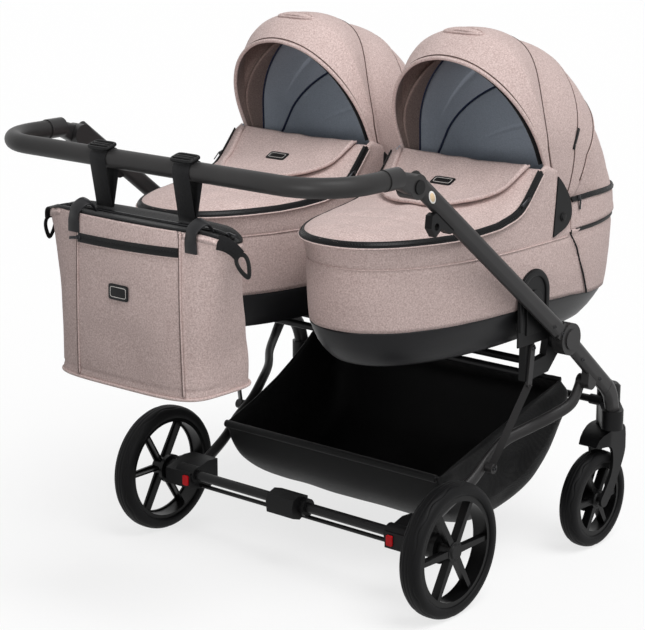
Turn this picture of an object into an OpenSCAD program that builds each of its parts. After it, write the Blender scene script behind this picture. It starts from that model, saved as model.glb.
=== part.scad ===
// Twin pram: two carrycots side by side on one folding chassis with a hanging bag.
// +X is the pusher's right, +Y is the way it travels, +Z is up, and the wheels stand on Z = 0.

/* [Wheels] */
// Radius of a rear wheel
rear_wheel_r = 137.5; // [120:0.5:150]
// Width of a rear tyre
rear_tyre_w = 45; // [36:1:52]
// How far a rear wheel's middle stands inside the side tube
rear_inset = 42; // [32:1:51]
// Radius of a front wheel
front_wheel_r = 105.5; // [95:0.5:115]
// Width of a front tyre
front_tyre_w = 41; // [34:1:46]
// How far a front wheel's middle stands inside the side tube
front_inset = 46; // [40:1:53]
// Distance from the rear axle to the front axle
wheel_base = 515; // [500:1:530]
// How far a front axle trails behind its swivel
caster_trail = 50; // [40:1:60]
// Radial depth of a tyre
tyre_depth = 25; // [20:0.5:30]
// Radial depth of a rim's ring
rim_depth = 8; // [6:0.5:12]
// Spokes in each wheel
spoke_count = 6; // [4:1:8]
// Width of a spoke at the hub
spoke_root_w = 15; // [11:0.5:20]
// Width of a spoke at the rim
spoke_tip_w = 9; // [6:0.5:12]
// Depth of a spoke's rib
spoke_rib_d = 20; // [14:1:26]
// Radius of a wheel hub
hub_r = 21; // [17:0.5:25]
// Radius of an axle pin
axle_r = 5; // [4:0.5:6]

/* [Chassis] */
// From a cot's side to the middle of the long side tube
side_gap = 26.5; // [22:0.5:32]
// Height of a side tube's oval section
tube_h = 36; // [30:0.5:40]
// Width of a side tube's oval section
tube_w = 22; // [18:0.5:24]
// Fold hub, along the pram
hub_y = 326; // [318:1:334]
// Fold hub, height
hub_z = 506; // [500:1:512]
// Radius of the fold hub's two discs
hub_disc_r = 33; // [30:0.5:36]
// Handle pivot, along the pram
pivot_y = -184.5; // [-200:0.5:-170]
// Handle pivot, height
pivot_z = 891; // [880:1:900]
// Slope of the lower side tube
lower_slope = 41; // [38:0.5:44]
// Length of the lower tube's sloping run
lower_run = 225; // [215:1:235]
// Length of the lower tube's steep end
lower_end = 52; // [44:1:60]
// Slope of the lower tube's steep end
lower_end_slope = 74; // [68:1:80]
// Radius of the lower tube's bend
lower_bend_r = 70; // [50:1:90]
// Height of the swivel housing
head_h = 84; // [76:1:92]
// Radius of the swivel housing
head_r = 25; // [22:0.5:28]
// Height of the swivel housing's bottom
head_z = 262; // [256:1:268]
// Radius of a cross tube
cross_tube_r = 8; // [6:0.5:10]
// Rear leg tube, long way across
leg_h = 26; // [22:0.5:30]
// Rear leg tube, short way across
leg_w = 19; // [16:0.5:22]
// Thickness of the flat strut
strut_t = 5; // [4:0.5:6]
// Width of the flat strut
strut_w = 15; // [12:0.5:18]
// Radius of the rear axle tube
axle_tube_r = 10.5; // [9:0.5:12]
// Radius of the brake rod
brake_rod_r = 4.5; // [3.5:0.5:6]
// Width of the brake pedal
pedal_w = 72; // [60:1:84]

/* [Handle] */
// Radius of the padded grip
grip_r = 18.5; // [16:0.5:20]
// Grip's crossbar, along the pram
grip_y = -415; // [-430:1:-400]
// Height of the grip
grip_z = 912; // [905:1:920]
// Radius of the grip's corners
grip_corner_r = 110; // [90:1:130]
// Where the grip ends at each side
grip_end_y = -268; // [-280:1:-255]
// Radius of the handle's pivot discs
pivot_disc_r = 23; // [20:0.5:26]
// Radius of the handle's adjusting button
button_r = 13; // [10:0.5:15]

/* [Cots] */
// Gap between the two cots
cot_gap = 69; // [62:1:76]
// Half the width of a cot at its widest
cot_half_w = 186; // [182:0.5:188]
// Foot end of the cots, along the pram
cot_foot_y = -172; // [-180:1:-160]
// Head end of the cots, along the pram
cot_head_y = 646; // [635:1:655]
// Squareness of a cot's outline
cot_round = 3.2; // [2.6:0.1:4]
// Squareness of the foot half, which is rounder
foot_round = 2.3; // [2:0.1:2.8]
// Height of the tub's flat bottom
tub_z = 505; // [500:1:510]
// How far the tub's bottom edge stands inside the cot posts
tub_flank = 20.5; // [16:0.5:25]
// Height of the tub's rim
tub_top_z = 583; // [575:1:590]
// Height of the cot's rim
rim_z = 755; // [745:1:765]
// Thickness of the cot's padded wall
cot_wall = 5; // [4:0.5:7]
// Height of the shoulders beside the hood
shoulder_z = 864; // [855:1:872]
// Thickness of the apron
apron_t = 4; // [3:0.5:6]

/* [Hood] */
// Hood pivot, along the pram
hood_y = 337; // [330:1:344]
// Hood pivot, height
hood_z = 750; // [745:1:755]
// Radius of the front panel's crown at its highest
hood_crown_r = 375; // [370:1:380]
// Radius at the foot of the hood's arch
hood_foot_r = 150; // [140:1:160]
// Radius of the middle panel's crown
hood_mid_r = 343; // [336:1:346]
// Thickness of the hood's cloth
hood_t = 4; // [3:0.5:5]
// Turn of the front edge, from level
hood_front_turn = 116; // [113:1:118]
// Radius of the hood's pivot pins
hood_pin_r = 4; // [3:0.5:5]

/* [Basket] */
// How far the basket's side stands inside the side tube, at the back
basket_inset = 141; // [134:1:150]
// How far the basket's top edge widens to the front
basket_flare = 50; // [30:1:56]
// Lowest point of the basket
basket_low_z = 92; // [85:1:110]
// Thickness of the basket's cloth
basket_t = 4; // [3:0.5:6]

/* [Bag] */
// Half the width of the bag's bottom
bag_low_half_w = 184; // [170:1:195]
// Half the width of the bag's top edge
bag_top_half_w = 240; // [225:1:250]
// Depth of the bag's bottom
bag_low_d = 200; // [180:1:210]
// Depth of the bag's top edge
bag_top_d = 100; // [85:1:110]
// How far the bag's top edge hangs below the grip's middle
bag_drop = 94; // [86:1:104]
// Height of the bag
bag_height = 318; // [295:1:330]
// Front face of the bag, along the pram
bag_front_y = -492; // [-496:1:-486]
// Width of a bag strap
strap_w = 36; // [28:1:42]
// Thickness of a bag strap
strap_t = 2; // [1.5:0.5:3]

/* [Clearances] */
// Radial clearance of pins in their bores
pin_gap = 0.05; // [0.02:0.01:0.1]
// Gap between parts that move past each other
run_gap = 0.4; // [0.3:0.05:0.8]

/* [Hidden] */
$fn = 64;
both = [1, -1];
cot_x = cot_half_w + cot_gap / 2;
side_x = cot_x + cot_half_w + side_gap;
rear_x = side_x - rear_inset;
front_x = side_x - front_inset;
basket_half_w = side_x - basket_inset;
bag_top_z = grip_z - bag_drop;
bag_low_z = bag_top_z - bag_height;
// How far the bag's cloth swells, and where the bag hangs sideways at its bottom and its top
bag_swell = 6;
bag_x = -14;
bag_lean = 26;
strap_places = [-129, 85];
// Tilt of a strap's two falls from the bar to the bag's top
strap_front_tilt = 1.5;
strap_back_tilt = 15;
// The part is centred along the pram between the bag's front and the cots' heads
frame_shift = -(bag_front_y - bag_swell / 2 + cot_head_y) / 2;
// Slope and length of the push tubes, from the fold hub to the handle pivot
push_rise = pivot_z + 12 - hub_z;
push_back = hub_y - (pivot_y + 4);
push_slope = atan2(push_rise, push_back);
push_len = norm([push_rise, push_back]);
hub_cut_r = hub_disc_r + 1;
// Layers of the fold hub and of the handle pivot, from the inside out
hub_in_x = side_x - 13;
hub_mid_x = side_x;
hub_out_x = side_x + 13;
pivot_in_x = side_x - 18;
pivot_out_x = side_x + 18;
// Run of the lower tube, from the fold hub over its bend to the swivel housing
lower_path = [
    [hub_y, hub_z],
    [hub_y + lower_run * cos(lower_slope), hub_z - lower_run * sin(lower_slope)],
    [hub_y + lower_run * cos(lower_slope) + lower_end * cos(lower_end_slope),
     hub_z - lower_run * sin(lower_slope) - lower_end * sin(lower_end_slope)]
];
// Level at which the lower tube stands on the swivel housing's block
lower_seat_z = lower_path[2][1] + tube_h / 2 * cos(lower_end_slope);
// The bend is an elbow fitting a little larger than the tube, which enters it at both ends
elbow_lap = 3;
elbow_proud = 0.8;
// Rear leg hinge under the lower tube, and the leg's route down to the axle housing
leg_pin_y = hub_y + 91;
leg_pin_z = hub_z - 112;
leg_pin_r = 6;
leg_ear_r = 15;
leg_ear_x = side_x - 25;
leg_ear_out = side_x - tube_w / 2 - run_gap;
axle_tube_y = -24.5;
axle_tube_z = rear_wheel_r + 14;
leg_foot_x = rear_x - 88;
leg_route = [
    [leg_ear_x + 4, leg_pin_y - 2, leg_pin_z - 4],
    [leg_ear_x + 2, leg_pin_y - 30, leg_pin_z - 42],
    [leg_ear_x - 18, leg_pin_y - 70, leg_pin_z - 65],
    [leg_ear_x - 48, leg_pin_y - 108, leg_pin_z - 87],
    [leg_ear_x - 73, leg_pin_y - 159, leg_pin_z - 108],
    [leg_ear_x - 83, leg_pin_y - 204, leg_pin_z - 140],
    [leg_ear_x - 84, leg_pin_y - 255, leg_pin_z - 172],
    [leg_foot_x + 9, 108, axle_tube_z + 39],
    [leg_foot_x, 14, axle_tube_z - 6]
];
// Cot posts and the struts that brace them
post_x = side_x - 36;
post_y = 240;
post_w = 16;
post_d = 30;
post_low_z = 432;
post_top_z = tub_z + 40;
// Inner face of an outer post from its cot's middle, and the tub that fits between the posts
post_in = post_x - post_w / 2 - cot_x;
tub_clear = 2.5;
tub_half_w = post_in - tub_flank;
// Half the width of the middle post, which carries both cots' inner sides
mid_half_w = 2 * cot_x - post_x + post_w / 2;
strut_x = post_x + post_w / 2 + run_gap + strut_t / 2;
strut_top = [strut_x, post_y + 4, tub_z - 6];
strut_knee = [strut_x, post_y - 5, post_low_z - 6];
strut_foot = [leg_ear_x - 64, leg_pin_y - 217, leg_pin_z - 150];
strut_boss_r = 10.5;
// Swivel housings
head_y = wheel_base + caster_trail;
nose_y = head_y - 24;
head_block_in = head_r + 4;
socket_r = 23;
socket_lift = 10;
nose_z = head_z + head_h - 30;
stem_r = 8;
fork_gap = front_tyre_w / 2 + 4;
fork_t = 7;
fork_eye_r = 14;
// The fork from the side: the fender's roof from its lip, then the front and back edges of the swept arm
crown_z = head_z - run_gap;
tyre_top_z = 2 * front_wheel_r;
lip_y = wheel_base - 26;
fender_t = 5;
fender_lip_w = 22;
fender_mid = [wheel_base + 25, tyre_top_z - 11];
fork_roof = [
    [lip_y, tyre_top_z + 17], [lip_y + 8, tyre_top_z + 30], [lip_y + 21, tyre_top_z + 39],
    [head_y - 38, crown_z - 6], [head_y - 24, crown_z - 1.5], [head_y - 14, crown_z], [head_y + 16, crown_z],
    [head_y + 22, crown_z - 8], [head_y + 24.5, crown_z - 24], [head_y + 25, crown_z - 54]
];
fork_front = smooth([
    [head_y + 22, front_wheel_r + 90], [wheel_base + 65, front_wheel_r + 74], [wheel_base + 50, front_wheel_r + 45],
    [wheel_base + 33, front_wheel_r + 15], [wheel_base + 11, front_wheel_r - 8]
], 3);
fork_back = smooth([
    [wheel_base - 12, front_wheel_r + 7], [wheel_base + 9, front_wheel_r + 33], [wheel_base + 24, front_wheel_r + 58],
    [wheel_base + 28, front_wheel_r + 88], [wheel_base + 18, tyre_top_z + 10], [lip_y + 2, tyre_top_z + 13]
], 3);
// Rear axle housings
house_in_x = rear_x - 129;
house_out_x = rear_x - rear_tyre_w / 2 - 5;
house_r = 21;
release_x = rear_x - 111.5;
release_w = 15;
release_h = 22;
// Where the apron ends under the hood
apron_end_y = hood_y - 76;
// Hood panels, from the front one to the fixed back one
hood_half_w = cot_half_w - cot_wall - 2;
hood_layer = hood_t + 0.6;
hood_span = 30;
hood_overlap = 2;
hood_mid_span = 41;
hood_wing_r = 46;
hood_back_r = cot_head_y - 3 - hood_y;
hood_mid_turn = hood_front_turn - hood_span + hood_overlap - hood_mid_span;

// Puts a right-hand piece in place, or its mirror image for the left
module sided(side) {
    translate([0, frame_shift, 0])
        mirror([side < 0 ? 1 : 0, 0, 0]) children();
}

// Turns a shape drawn in X and Y to stand in Y and Z, with its thickness along X from place x
module side_plate(x, thick) {
    translate([x, 0, 0]) rotate([90, 0, 90]) linear_extrude(thick) children();
}

// Cylinder along X from x1 to x2
module rod_x(x1, x2, y, z, r) {
    translate([x1, y, z]) rotate([0, 90, 0]) cylinder(h = x2 - x1, r = r);
}

// Oval section, high along X and wide along Y
module oval(h, w) {
    square([h - w, w], center = true);
    for (s = both) translate([s * (h - w) / 2, 0]) circle(d = w);
}

// Rectangle with rounded corners
module soft_box(w, h, r) {
    square([w - 2 * r, h], center = true);
    square([w, h - 2 * r], center = true);
    for (i = both, j = both) translate([i * (w / 2 - r), j * (h / 2 - r)]) circle(r);
}

// Points of a smooth route through p, with steps points to each stretch
function spline_at(p, i, t) =
    let (n = len(p) - 1, a = p[max(i - 1, 0)], b = p[i], c = p[i + 1], d = p[min(i + 2, n)])
    ((2 * b) + (c - a) * t + (2 * a - 5 * b + 4 * c - d) * t * t
        + (3 * b - a - 3 * c + d) * t * t * t) / 2;
function smooth(p, steps) = concat(
    [for (i = [0 : len(p) - 2], k = [0 : steps - 1]) spline_at(p, i, k / steps)], [p[len(p) - 1]]);
function unit(v) = v / norm(v);
function heading(p, i) = unit(p[min(i + 1, len(p) - 1)] - p[max(i - 1, 0)]);

// Faces of a stack of rings of n points: an open stack has end caps, a closed one joins up
function stack_faces(rings, n, closed) = concat(
    [for (i = [0 : rings - (closed ? 1 : 2)], k = [0 : n - 1])
        let (a = i * n, b = ((i + 1) % rings) * n, m = (k + 1) % n) [a + k, b + k, b + m]],
    [for (i = [0 : rings - (closed ? 1 : 2)], k = [0 : n - 1])
        let (a = i * n, b = ((i + 1) % rings) * n, m = (k + 1) % n) [a + k, b + m, a + m]],
    closed ? [] : [[for (k = [0 : n - 1]) k]],
    closed ? [] : [[for (k = [n - 1 : -1 : 0]) (rings - 1) * n + k]]);
module stack(rings, closed = false) {
    n = len(rings[0]);
    polyhedron([for (r = rings, p = r) p], stack_faces(len(rings), n, closed), convexity = 8);
}

// Oval tube along a smooth route in space, standing high along Z
module swept_tube(route, h, w, sides) {
    rings = [for (i = [0 : len(route) - 1])
        let (d = heading(route, i), across = unit(cross([0, 0, 1], d)), up = cross(d, across))
        [for (k = [0 : sides - 1]) let (a = 360 * k / sides)
            route[i] + across * (w / 2 * cos(a)) + up * (h / 2 * sin(a))]];
    stack(rings);
}

// Tube bent in one plane along a path of points, with a round bend of radius r at each: the first
// child is the straight runs' section and the last the bends', which the runs enter by lap
module bent_run(path, r, lap = 0) {
    for (i = [0 : len(path) - 2]) {
        step = path[i + 1] - path[i];
        turn_in = i > 0 ? bend_cut(path, i, r) - lap : 0;
        turn_out = i < len(path) - 2 ? bend_cut(path, i + 1, r) - lap : 0;
        translate(path[i] + unit(step) * turn_in)
            rotate([0, 0, atan2(step[1], step[0])])
                rotate([90, 0, 90]) linear_extrude(norm(step) - turn_in - turn_out) children(0);
    }
    for (i = [1 : 1 : len(path) - 2]) {
        a = path[i] - path[i - 1];
        turn = bend_turn(path, i);
        side = sign(turn);
        start = path[i] - unit(a) * bend_cut(path, i, r);
        centre = start + side * r * [-unit(a)[1], unit(a)[0]];
        from = atan2(a[1], a[0]) - side * 90;
        translate(centre) rotate([0, 0, side > 0 ? from : from + turn])
            rotate_extrude(angle = abs(turn), $fn = 96) translate([r, 0]) children($children - 1);
    }
}
function bend_turn(path, i) =
    let (a = path[i] - path[i - 1], b = path[i + 1] - path[i])
    atan2(a[0] * b[1] - a[1] * b[0], a * b);
function bend_cut(path, i, r) = r * tan(abs(bend_turn(path, i)) / 2);

// Flat bar between two points, thick along X and wide along Y
module flat_bar(p, q, w, t) {
    d = q - p;
    translate(p) rotate([0, acos(d[2] / norm(d)), atan2(d[1], d[0])])
        translate([-t / 2, -w / 2, 0]) cube([t, w, norm(d)]);
}

// A cot's outline: a soft rectangle with its own half width, ends and height
function outline(half_w, foot, head, z, n = 56) = [for (k = [0 : n - 1])
    let (a = 360 * (k + 0.5) / n, c = cos(a), s = sin(a), e = 2 / (s < 0 ? foot_round : cot_round))
    [half_w * sign(c) * pow(abs(c), e), (foot + head) / 2 + (head - foot) / 2 * sign(s) * pow(abs(s), e), z]];
// Half width of a cot's rim at a place along the pram
function rim_half(y) =
    let (mid = (cot_foot_y + cot_head_y) / 2, half = (cot_head_y - cot_foot_y) / 2,
         bend = y < mid ? foot_round : cot_round)
    cot_half_w * pow(max(0, 1 - pow(abs(y - mid) / half, bend)), 1 / bend);

// Wheels

module tyre(wheel_r, w) {
    crown = w * 0.62;
    rotate_extrude($fn = 128) intersection() {
        translate([wheel_r - tyre_depth, -w / 2]) square([tyre_depth, w]);
        translate([wheel_r - crown, 0]) circle(crown, $fn = 96);
    }
}

module spokes(reach, face_z) {
    for (k = [0 : spoke_count - 1]) rotate([0, 0, 360 * (k + 0.5) / spoke_count]) {
        translate([0, 0, face_z - 5]) linear_extrude(5)
            polygon([[0, -spoke_root_w / 2], [reach, -spoke_tip_w / 2],
                     [reach, spoke_tip_w / 2], [0, spoke_root_w / 2]]);
        translate([0, -2, face_z - spoke_rib_d]) cube([reach, 4, spoke_rib_d]);
    }
}

module rim(wheel_r, w, pin_r) {
    ring_r = wheel_r - tyre_depth;
    face_z = w / 2 - 7;
    difference() {
        union() {
            rotate_extrude($fn = 128) {
                translate([ring_r - rim_depth, -w / 2 + 4]) square([rim_depth, w - 8]);
                translate([ring_r - rim_depth - 3, w / 2 - 8]) square([rim_depth, 4]);
            }
            intersection() {
                spokes(ring_r - rim_depth / 2, face_z);
                cylinder(h = 2 * w, r = ring_r - rim_depth / 2, center = true);
            }
            translate([0, 0, -w / 2 - 2]) cylinder(h = w - 4, r = hub_r);
            translate([0, 0, -w / 2 - 2]) cylinder(h = 9, r = hub_r + 11);
            translate([0, 0, face_z]) cylinder(h = 4, r1 = hub_r - 3, r2 = hub_r - 7);
        }
        translate([0, 0, -w / 2 - 3]) cylinder(h = w - 8, r = pin_r + pin_gap);
    }
}

module rear_wheel_place(side) {
    sided(side) translate([rear_x, 0, rear_wheel_r]) rotate([0, 90, 0]) children();
}

module front_wheel_place(side) {
    sided(side) translate([front_x, wheel_base, front_wheel_r]) rotate([0, 90, 0]) children();
}

module rear_tyre(side) {
    color([0.13, 0.13, 0.14]) rear_wheel_place(side) tyre(rear_wheel_r, rear_tyre_w);
}

module front_tyre(side) {
    color([0.13, 0.13, 0.14]) front_wheel_place(side) tyre(front_wheel_r, front_tyre_w);
}

module rear_rim(side) {
    color([0.1, 0.1, 0.1]) rear_wheel_place(side) rim(rear_wheel_r, rear_tyre_w, axle_r);
}

module front_rim(side) {
    color([0.1, 0.1, 0.1]) front_wheel_place(side) difference() {
        rim(front_wheel_r, front_tyre_w, axle_r);
        cylinder(h = 2 * front_tyre_w, r = axle_r + pin_gap, center = true);
        translate([0, 0, -front_tyre_w / 2 - 4]) cylinder(h = 4, r = 3 * hub_r);
    }
}

// Front forks and their housings

module fork(side) {
    out = fork_gap + fork_t;
    color([0.12, 0.12, 0.12]) sided(side) {
        translate([front_x, head_y, crown_z]) cylinder(h = head_h - 22, r = stem_r);
        difference() {
            union() {
                side_plate(front_x - fork_gap - 1, 2 * fork_gap + 2)
                    polygon(concat(fork_roof, [for (k = [len(fork_roof) - 1 : -1 : 0])
                        fork_roof[k] - fender_t * unit(fork_roof[k] - fender_mid)]));
                for (x = [front_x - out, front_x + fork_gap]) side_plate(x, fork_t) {
                    polygon(concat(fork_roof, fork_front, fork_back));
                    translate([wheel_base, front_wheel_r]) circle(fork_eye_r);
                }
            }
            for (s = both) translate([front_x, 0, tyre_top_z]) linear_extrude(head_z - tyre_top_z)
                polygon([[s * fender_lip_w, lip_y - 1], [s * (out + 1), lip_y - 1], [s * (out + 1), lip_y + 47]]);
        }
        rod_x(front_x - out, front_x + out, wheel_base, front_wheel_r, axle_r);
    }
}

// The steering cylinder and the lower tube's socket stand in one round-ended housing
module swivel_head(side) {
    socket = [side_x, lower_path[2][0]];
    axis = [front_x, head_y];
    across = [unit(socket - axis)[1], -unit(socket - axis)[0]] * socket_r;
    color([0.1, 0.1, 0.1]) sided(side) difference() {
        union() {
            translate([front_x, head_y, head_z]) cylinder(h = head_h, r = head_r);
            translate([front_x, head_y, head_z + head_h]) cylinder(h = 6, r1 = head_r, r2 = head_r - 6);
            translate([0, 0, head_z + socket_lift]) linear_extrude(lower_seat_z - head_z - socket_lift) {
                polygon([axis + across, axis - across, socket - across, socket + across]);
                translate(socket) circle(socket_r);
            }
            rod_x(front_x - head_block_in, front_x, nose_y, nose_z, cross_tube_r + 3);
        }
        translate([front_x, head_y, head_z - 1]) cylinder(h = head_h - 20, r = stem_r + pin_gap);
    }
}

// Side tubes

module lower_tube(side) {
    color([0.22, 0.22, 0.23]) sided(side) {
        difference() {
            union() {
                translate([side_x, 0, 0]) rotate([90, 0, 90])
                    bent_run(lower_path, lower_bend_r, elbow_lap) {
                        oval(tube_h, tube_w);
                        oval(tube_h + elbow_proud, tube_w + elbow_proud);
                    }
                side_plate(side_x - tube_w / 2, tube_w / 2 + 7) {
                    translate([leg_pin_y, leg_pin_z]) circle(leg_ear_r);
                    polygon([[leg_pin_y - leg_ear_r, leg_pin_z], [leg_pin_y + 14, leg_pin_z - 4],
                             [leg_pin_y + 34, leg_pin_z + 22], [leg_pin_y - 12, leg_pin_z + 44]]);
                }
            }
            rod_x(side_x - 20, side_x + 20, hub_y, hub_z, hub_cut_r);
            translate([side_x - tube_w, lower_path[2][0] - tube_h, lower_seat_z - tube_h])
                cube([2 * tube_w, 2 * tube_h, tube_h]);
        }
        rod_x(hub_in_x, hub_mid_x - run_gap / 2, hub_y, hub_z, hub_disc_r);
        side_plate(hub_in_x + 2, tube_w / 2 - run_gap / 2 - 1)
            translate([hub_y, hub_z]) rotate(-lower_slope) translate([0, -tube_h / 2])
                square([hub_cut_r + 8, tube_h]);
        rod_x(hub_mid_x - run_gap, hub_out_x - 4, hub_y, hub_z, 8);
        rod_x(leg_ear_x - 1, side_x - 6, leg_pin_y, leg_pin_z, leg_pin_r);
    }
}

module push_tube(side) {
    color([0.22, 0.22, 0.23]) sided(side) {
        difference() {
            union() {
                translate([side_x, hub_y, hub_z]) rotate([90, 0, 90]) rotate([0, 0, 180 - push_slope])
                    rotate([90, 0, 90]) linear_extrude(push_len) oval(tube_h, tube_w);
                rod_x(pivot_in_x, side_x - run_gap / 2, pivot_y, pivot_z, pivot_disc_r);
            }
            rod_x(side_x - 20, side_x + 20, hub_y, hub_z, hub_cut_r);
            rod_x(side_x - run_gap / 2, side_x + 30, pivot_y, pivot_z, pivot_disc_r + 1);
        }
        difference() {
            union() {
                rod_x(hub_mid_x + run_gap / 2, hub_out_x, hub_y, hub_z, hub_disc_r);
                side_plate(hub_mid_x + run_gap / 2, tube_w / 2 - run_gap / 2 - 1)
                    translate([hub_y, hub_z]) rotate(180 - push_slope) translate([0, -tube_h / 2])
                        square([hub_cut_r + 8, tube_h]);
            }
            rod_x(hub_mid_x - 1, hub_out_x - 3, hub_y, hub_z, 8 + pin_gap);
        }
        rod_x(hub_out_x, hub_out_x + 3, hub_y, hub_z, hub_disc_r - 12);
        rod_x(side_x - 1, side_x + 8, pivot_y, pivot_z, 6);
    }
}

// Rear legs, axle housings and brake

module rear_leg(side) {
    color([0.22, 0.22, 0.23]) sided(side) difference() {
        union() {
            swept_tube(smooth(leg_route, 4), leg_h, leg_w, 16);
            rod_x(leg_ear_x, leg_ear_out, leg_pin_y, leg_pin_z, leg_ear_r);
        }
        rod_x(leg_ear_x - 20, side_x, leg_pin_y, leg_pin_z, leg_pin_r + pin_gap);
    }
}

module axle_housing(side) {
    back_y = axle_tube_y - house_r;
    color([0.1, 0.1, 0.1]) sided(side) difference() {
        union() {
            rod_x(house_in_x, release_x + 34, axle_tube_y, axle_tube_z, house_r - 2);
            rod_x(release_x + 20, house_out_x, 0, rear_wheel_r, house_r + 4);
            side_plate(release_x - 13, 72) polygon([
                [back_y, axle_tube_z - 26], [12, axle_tube_z - 38], [40, axle_tube_z - 24],
                [40, axle_tube_z + 22], [10, axle_tube_z + 24], [back_y, axle_tube_z + 8]]);
            rod_x(house_out_x - 1, rear_x + rear_tyre_w / 2 - 12, 0, rear_wheel_r, axle_r);
        }
        translate([release_x - release_w / 2 - run_gap, back_y - 1, axle_tube_z - 9 - release_h / 2 - run_gap])
            cube([release_w + 2 * run_gap, 13, release_h + 2 * run_gap]);
    }
}

module release_button(side) {
    color([0.9, 0.08, 0.1]) sided(side)
        translate([release_x, axle_tube_y - house_r + 6, axle_tube_z - 9]) rotate([90, 0, 0])
            linear_extrude(9) soft_box(release_w, release_h, 3);
}

module axle_tube() {
    color([0.12, 0.12, 0.12]) sided(1) rod_x(-house_in_x, house_in_x, axle_tube_y, axle_tube_z, axle_tube_r);
}

module brake_rod() {
    rod_end = release_x - 13 - run_gap;
    color([0.12, 0.12, 0.12]) sided(1)
        rod_x(-rod_end, rod_end, axle_tube_y + 16, axle_tube_z - 28, brake_rod_r);
}

module brake_pedal() {
    color([0.08, 0.08, 0.08]) sided(1) difference() {
        union() {
            rod_x(-pedal_w / 2 - 8, pedal_w / 2 + 14, axle_tube_y, axle_tube_z, axle_tube_r + 8);
            side_plate(-pedal_w / 2, pedal_w) polygon([
                [axle_tube_y - 36, axle_tube_z + 4], [axle_tube_y - 33, axle_tube_z - 19],
                [axle_tube_y - 12, axle_tube_z - 26], [axle_tube_y + 12, axle_tube_z - 14],
                [axle_tube_y + 14, axle_tube_z + 20], [axle_tube_y - 8, axle_tube_z + 27],
                [axle_tube_y - 30, axle_tube_z + 20]]);
        }
        rod_x(-pedal_w, pedal_w, axle_tube_y, axle_tube_z, axle_tube_r + pin_gap);
    }
}

// Cot posts, cross tubes and struts

module adaptor_post(side) {
    color([0.1, 0.1, 0.1]) sided(side) {
        side_plate(post_x - post_w / 2, post_w) {
            translate([post_y - post_d / 2, post_low_z]) square([post_d, post_top_z - post_low_z]);
            polygon([[post_y, post_low_z], [hub_y - 20, post_low_z + 4], [hub_y + 22, hub_z - 30],
                     [hub_y + 24, hub_z], [hub_y - 20, hub_z + 14], [hub_y - 30, hub_z - 34],
                     [post_y, post_low_z + 34]]);
            translate([hub_y, hub_z]) circle(24);
        }
        rod_x(post_x, hub_in_x, hub_y, hub_z, 22);
    }
}

module adaptor_post_mid() {
    color([0.1, 0.1, 0.1]) sided(1) {
        translate([-mid_half_w, post_y - post_d / 2, post_low_z + 2]) cube([2 * mid_half_w, post_d + 34, 38]);
        for (s = both) translate([s * (2 * cot_x - post_x) - post_w / 2, post_y - post_d / 2, post_low_z + 2])
            cube([post_w, post_d, post_top_z - post_low_z - 2]);
    }
}

module cross_tube(y, z, half) {
    color([0.12, 0.12, 0.12]) sided(1) difference() {
        rod_x(-half, half, y, z, cross_tube_r);
        translate([-mid_half_w, y - 40, z - 40]) cube([2 * mid_half_w, 80, 80]);
    }
}

module strut(side) {
    top = [strut_top[1], strut_top[2]];
    knee = [strut_knee[1], strut_knee[2]];
    edge = [unit(top - knee)[1], -unit(top - knee)[0]] * strut_w / 2;
    color([0.16, 0.16, 0.17]) sided(side) {
        side_plate(strut_x - strut_t / 2, strut_t) {
            polygon([top + edge, top - edge, knee - edge, knee + edge]);
            translate(top) circle(strut_w / 2);
            translate(knee) circle(strut_w / 2);
        }
        flat_bar(strut_knee, strut_foot, strut_t, strut_w);
        rod_x(strut_foot[0] - strut_w / 2 - 1, strut_foot[0] + strut_w / 2 + 1, strut_foot[1], strut_foot[2],
              strut_boss_r);
    }
}

module nose_tube() {
    color([0.12, 0.12, 0.12]) sided(1)
        rod_x(-front_x + head_block_in, front_x - head_block_in, nose_y, nose_z, cross_tube_r);
}

// Basket: a bowl of cloth between the legs, open at the top

function basket_profile(t) =
    let (p = [[92, 236], [112, 160], [190, 104], [290, basket_low_z], [400, 112], [480, 165],
              [515, 235], [nose_y - cross_tube_r - run_gap, nose_z], [452, 374]], i = min(floor(t * 8), 7))
    spline_at(p, i, t * 8 - i);
// The bowl is squarish across, and its inner face closes on the lip to leave a wall at each side
function basket_deep(u, inner) = pow(max(0, 1 - (inner ? 1 : 0.95) * pow(abs(u), 8)), 1 / 8);
function basket_point(u, t, shrink) =
    let (p = basket_profile(t), lip = [92 + 360 * t, 236 + 138 * t],
         half = basket_half_w + basket_flare * pow(t, 2) - shrink,
         in = unit(lip + [0, 40] - p) * (shrink * (t > 0 && t < 1 ? 1 : 0)),
         q = lip + (p + in - lip) * basket_deep(u, shrink > 0))
    [u * half, q[0] + (t == 0 ? shrink : t == 1 ? -shrink : 0), q[1]];
module basket() {
    across = [for (k = [-9 : 9]) sign(k) * (1 - pow(1 - abs(k) / 9, 2))];
    down = 16;
    rows = [for (u = across) concat(
        [for (j = [0 : down]) basket_point(u, j / down, 0)],
        [for (j = [down : -1 : 0]) basket_point(u, j / down, basket_t)])];
    color([0.05, 0.05, 0.06]) sided(1) stack(rows);
}

// Handle

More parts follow.
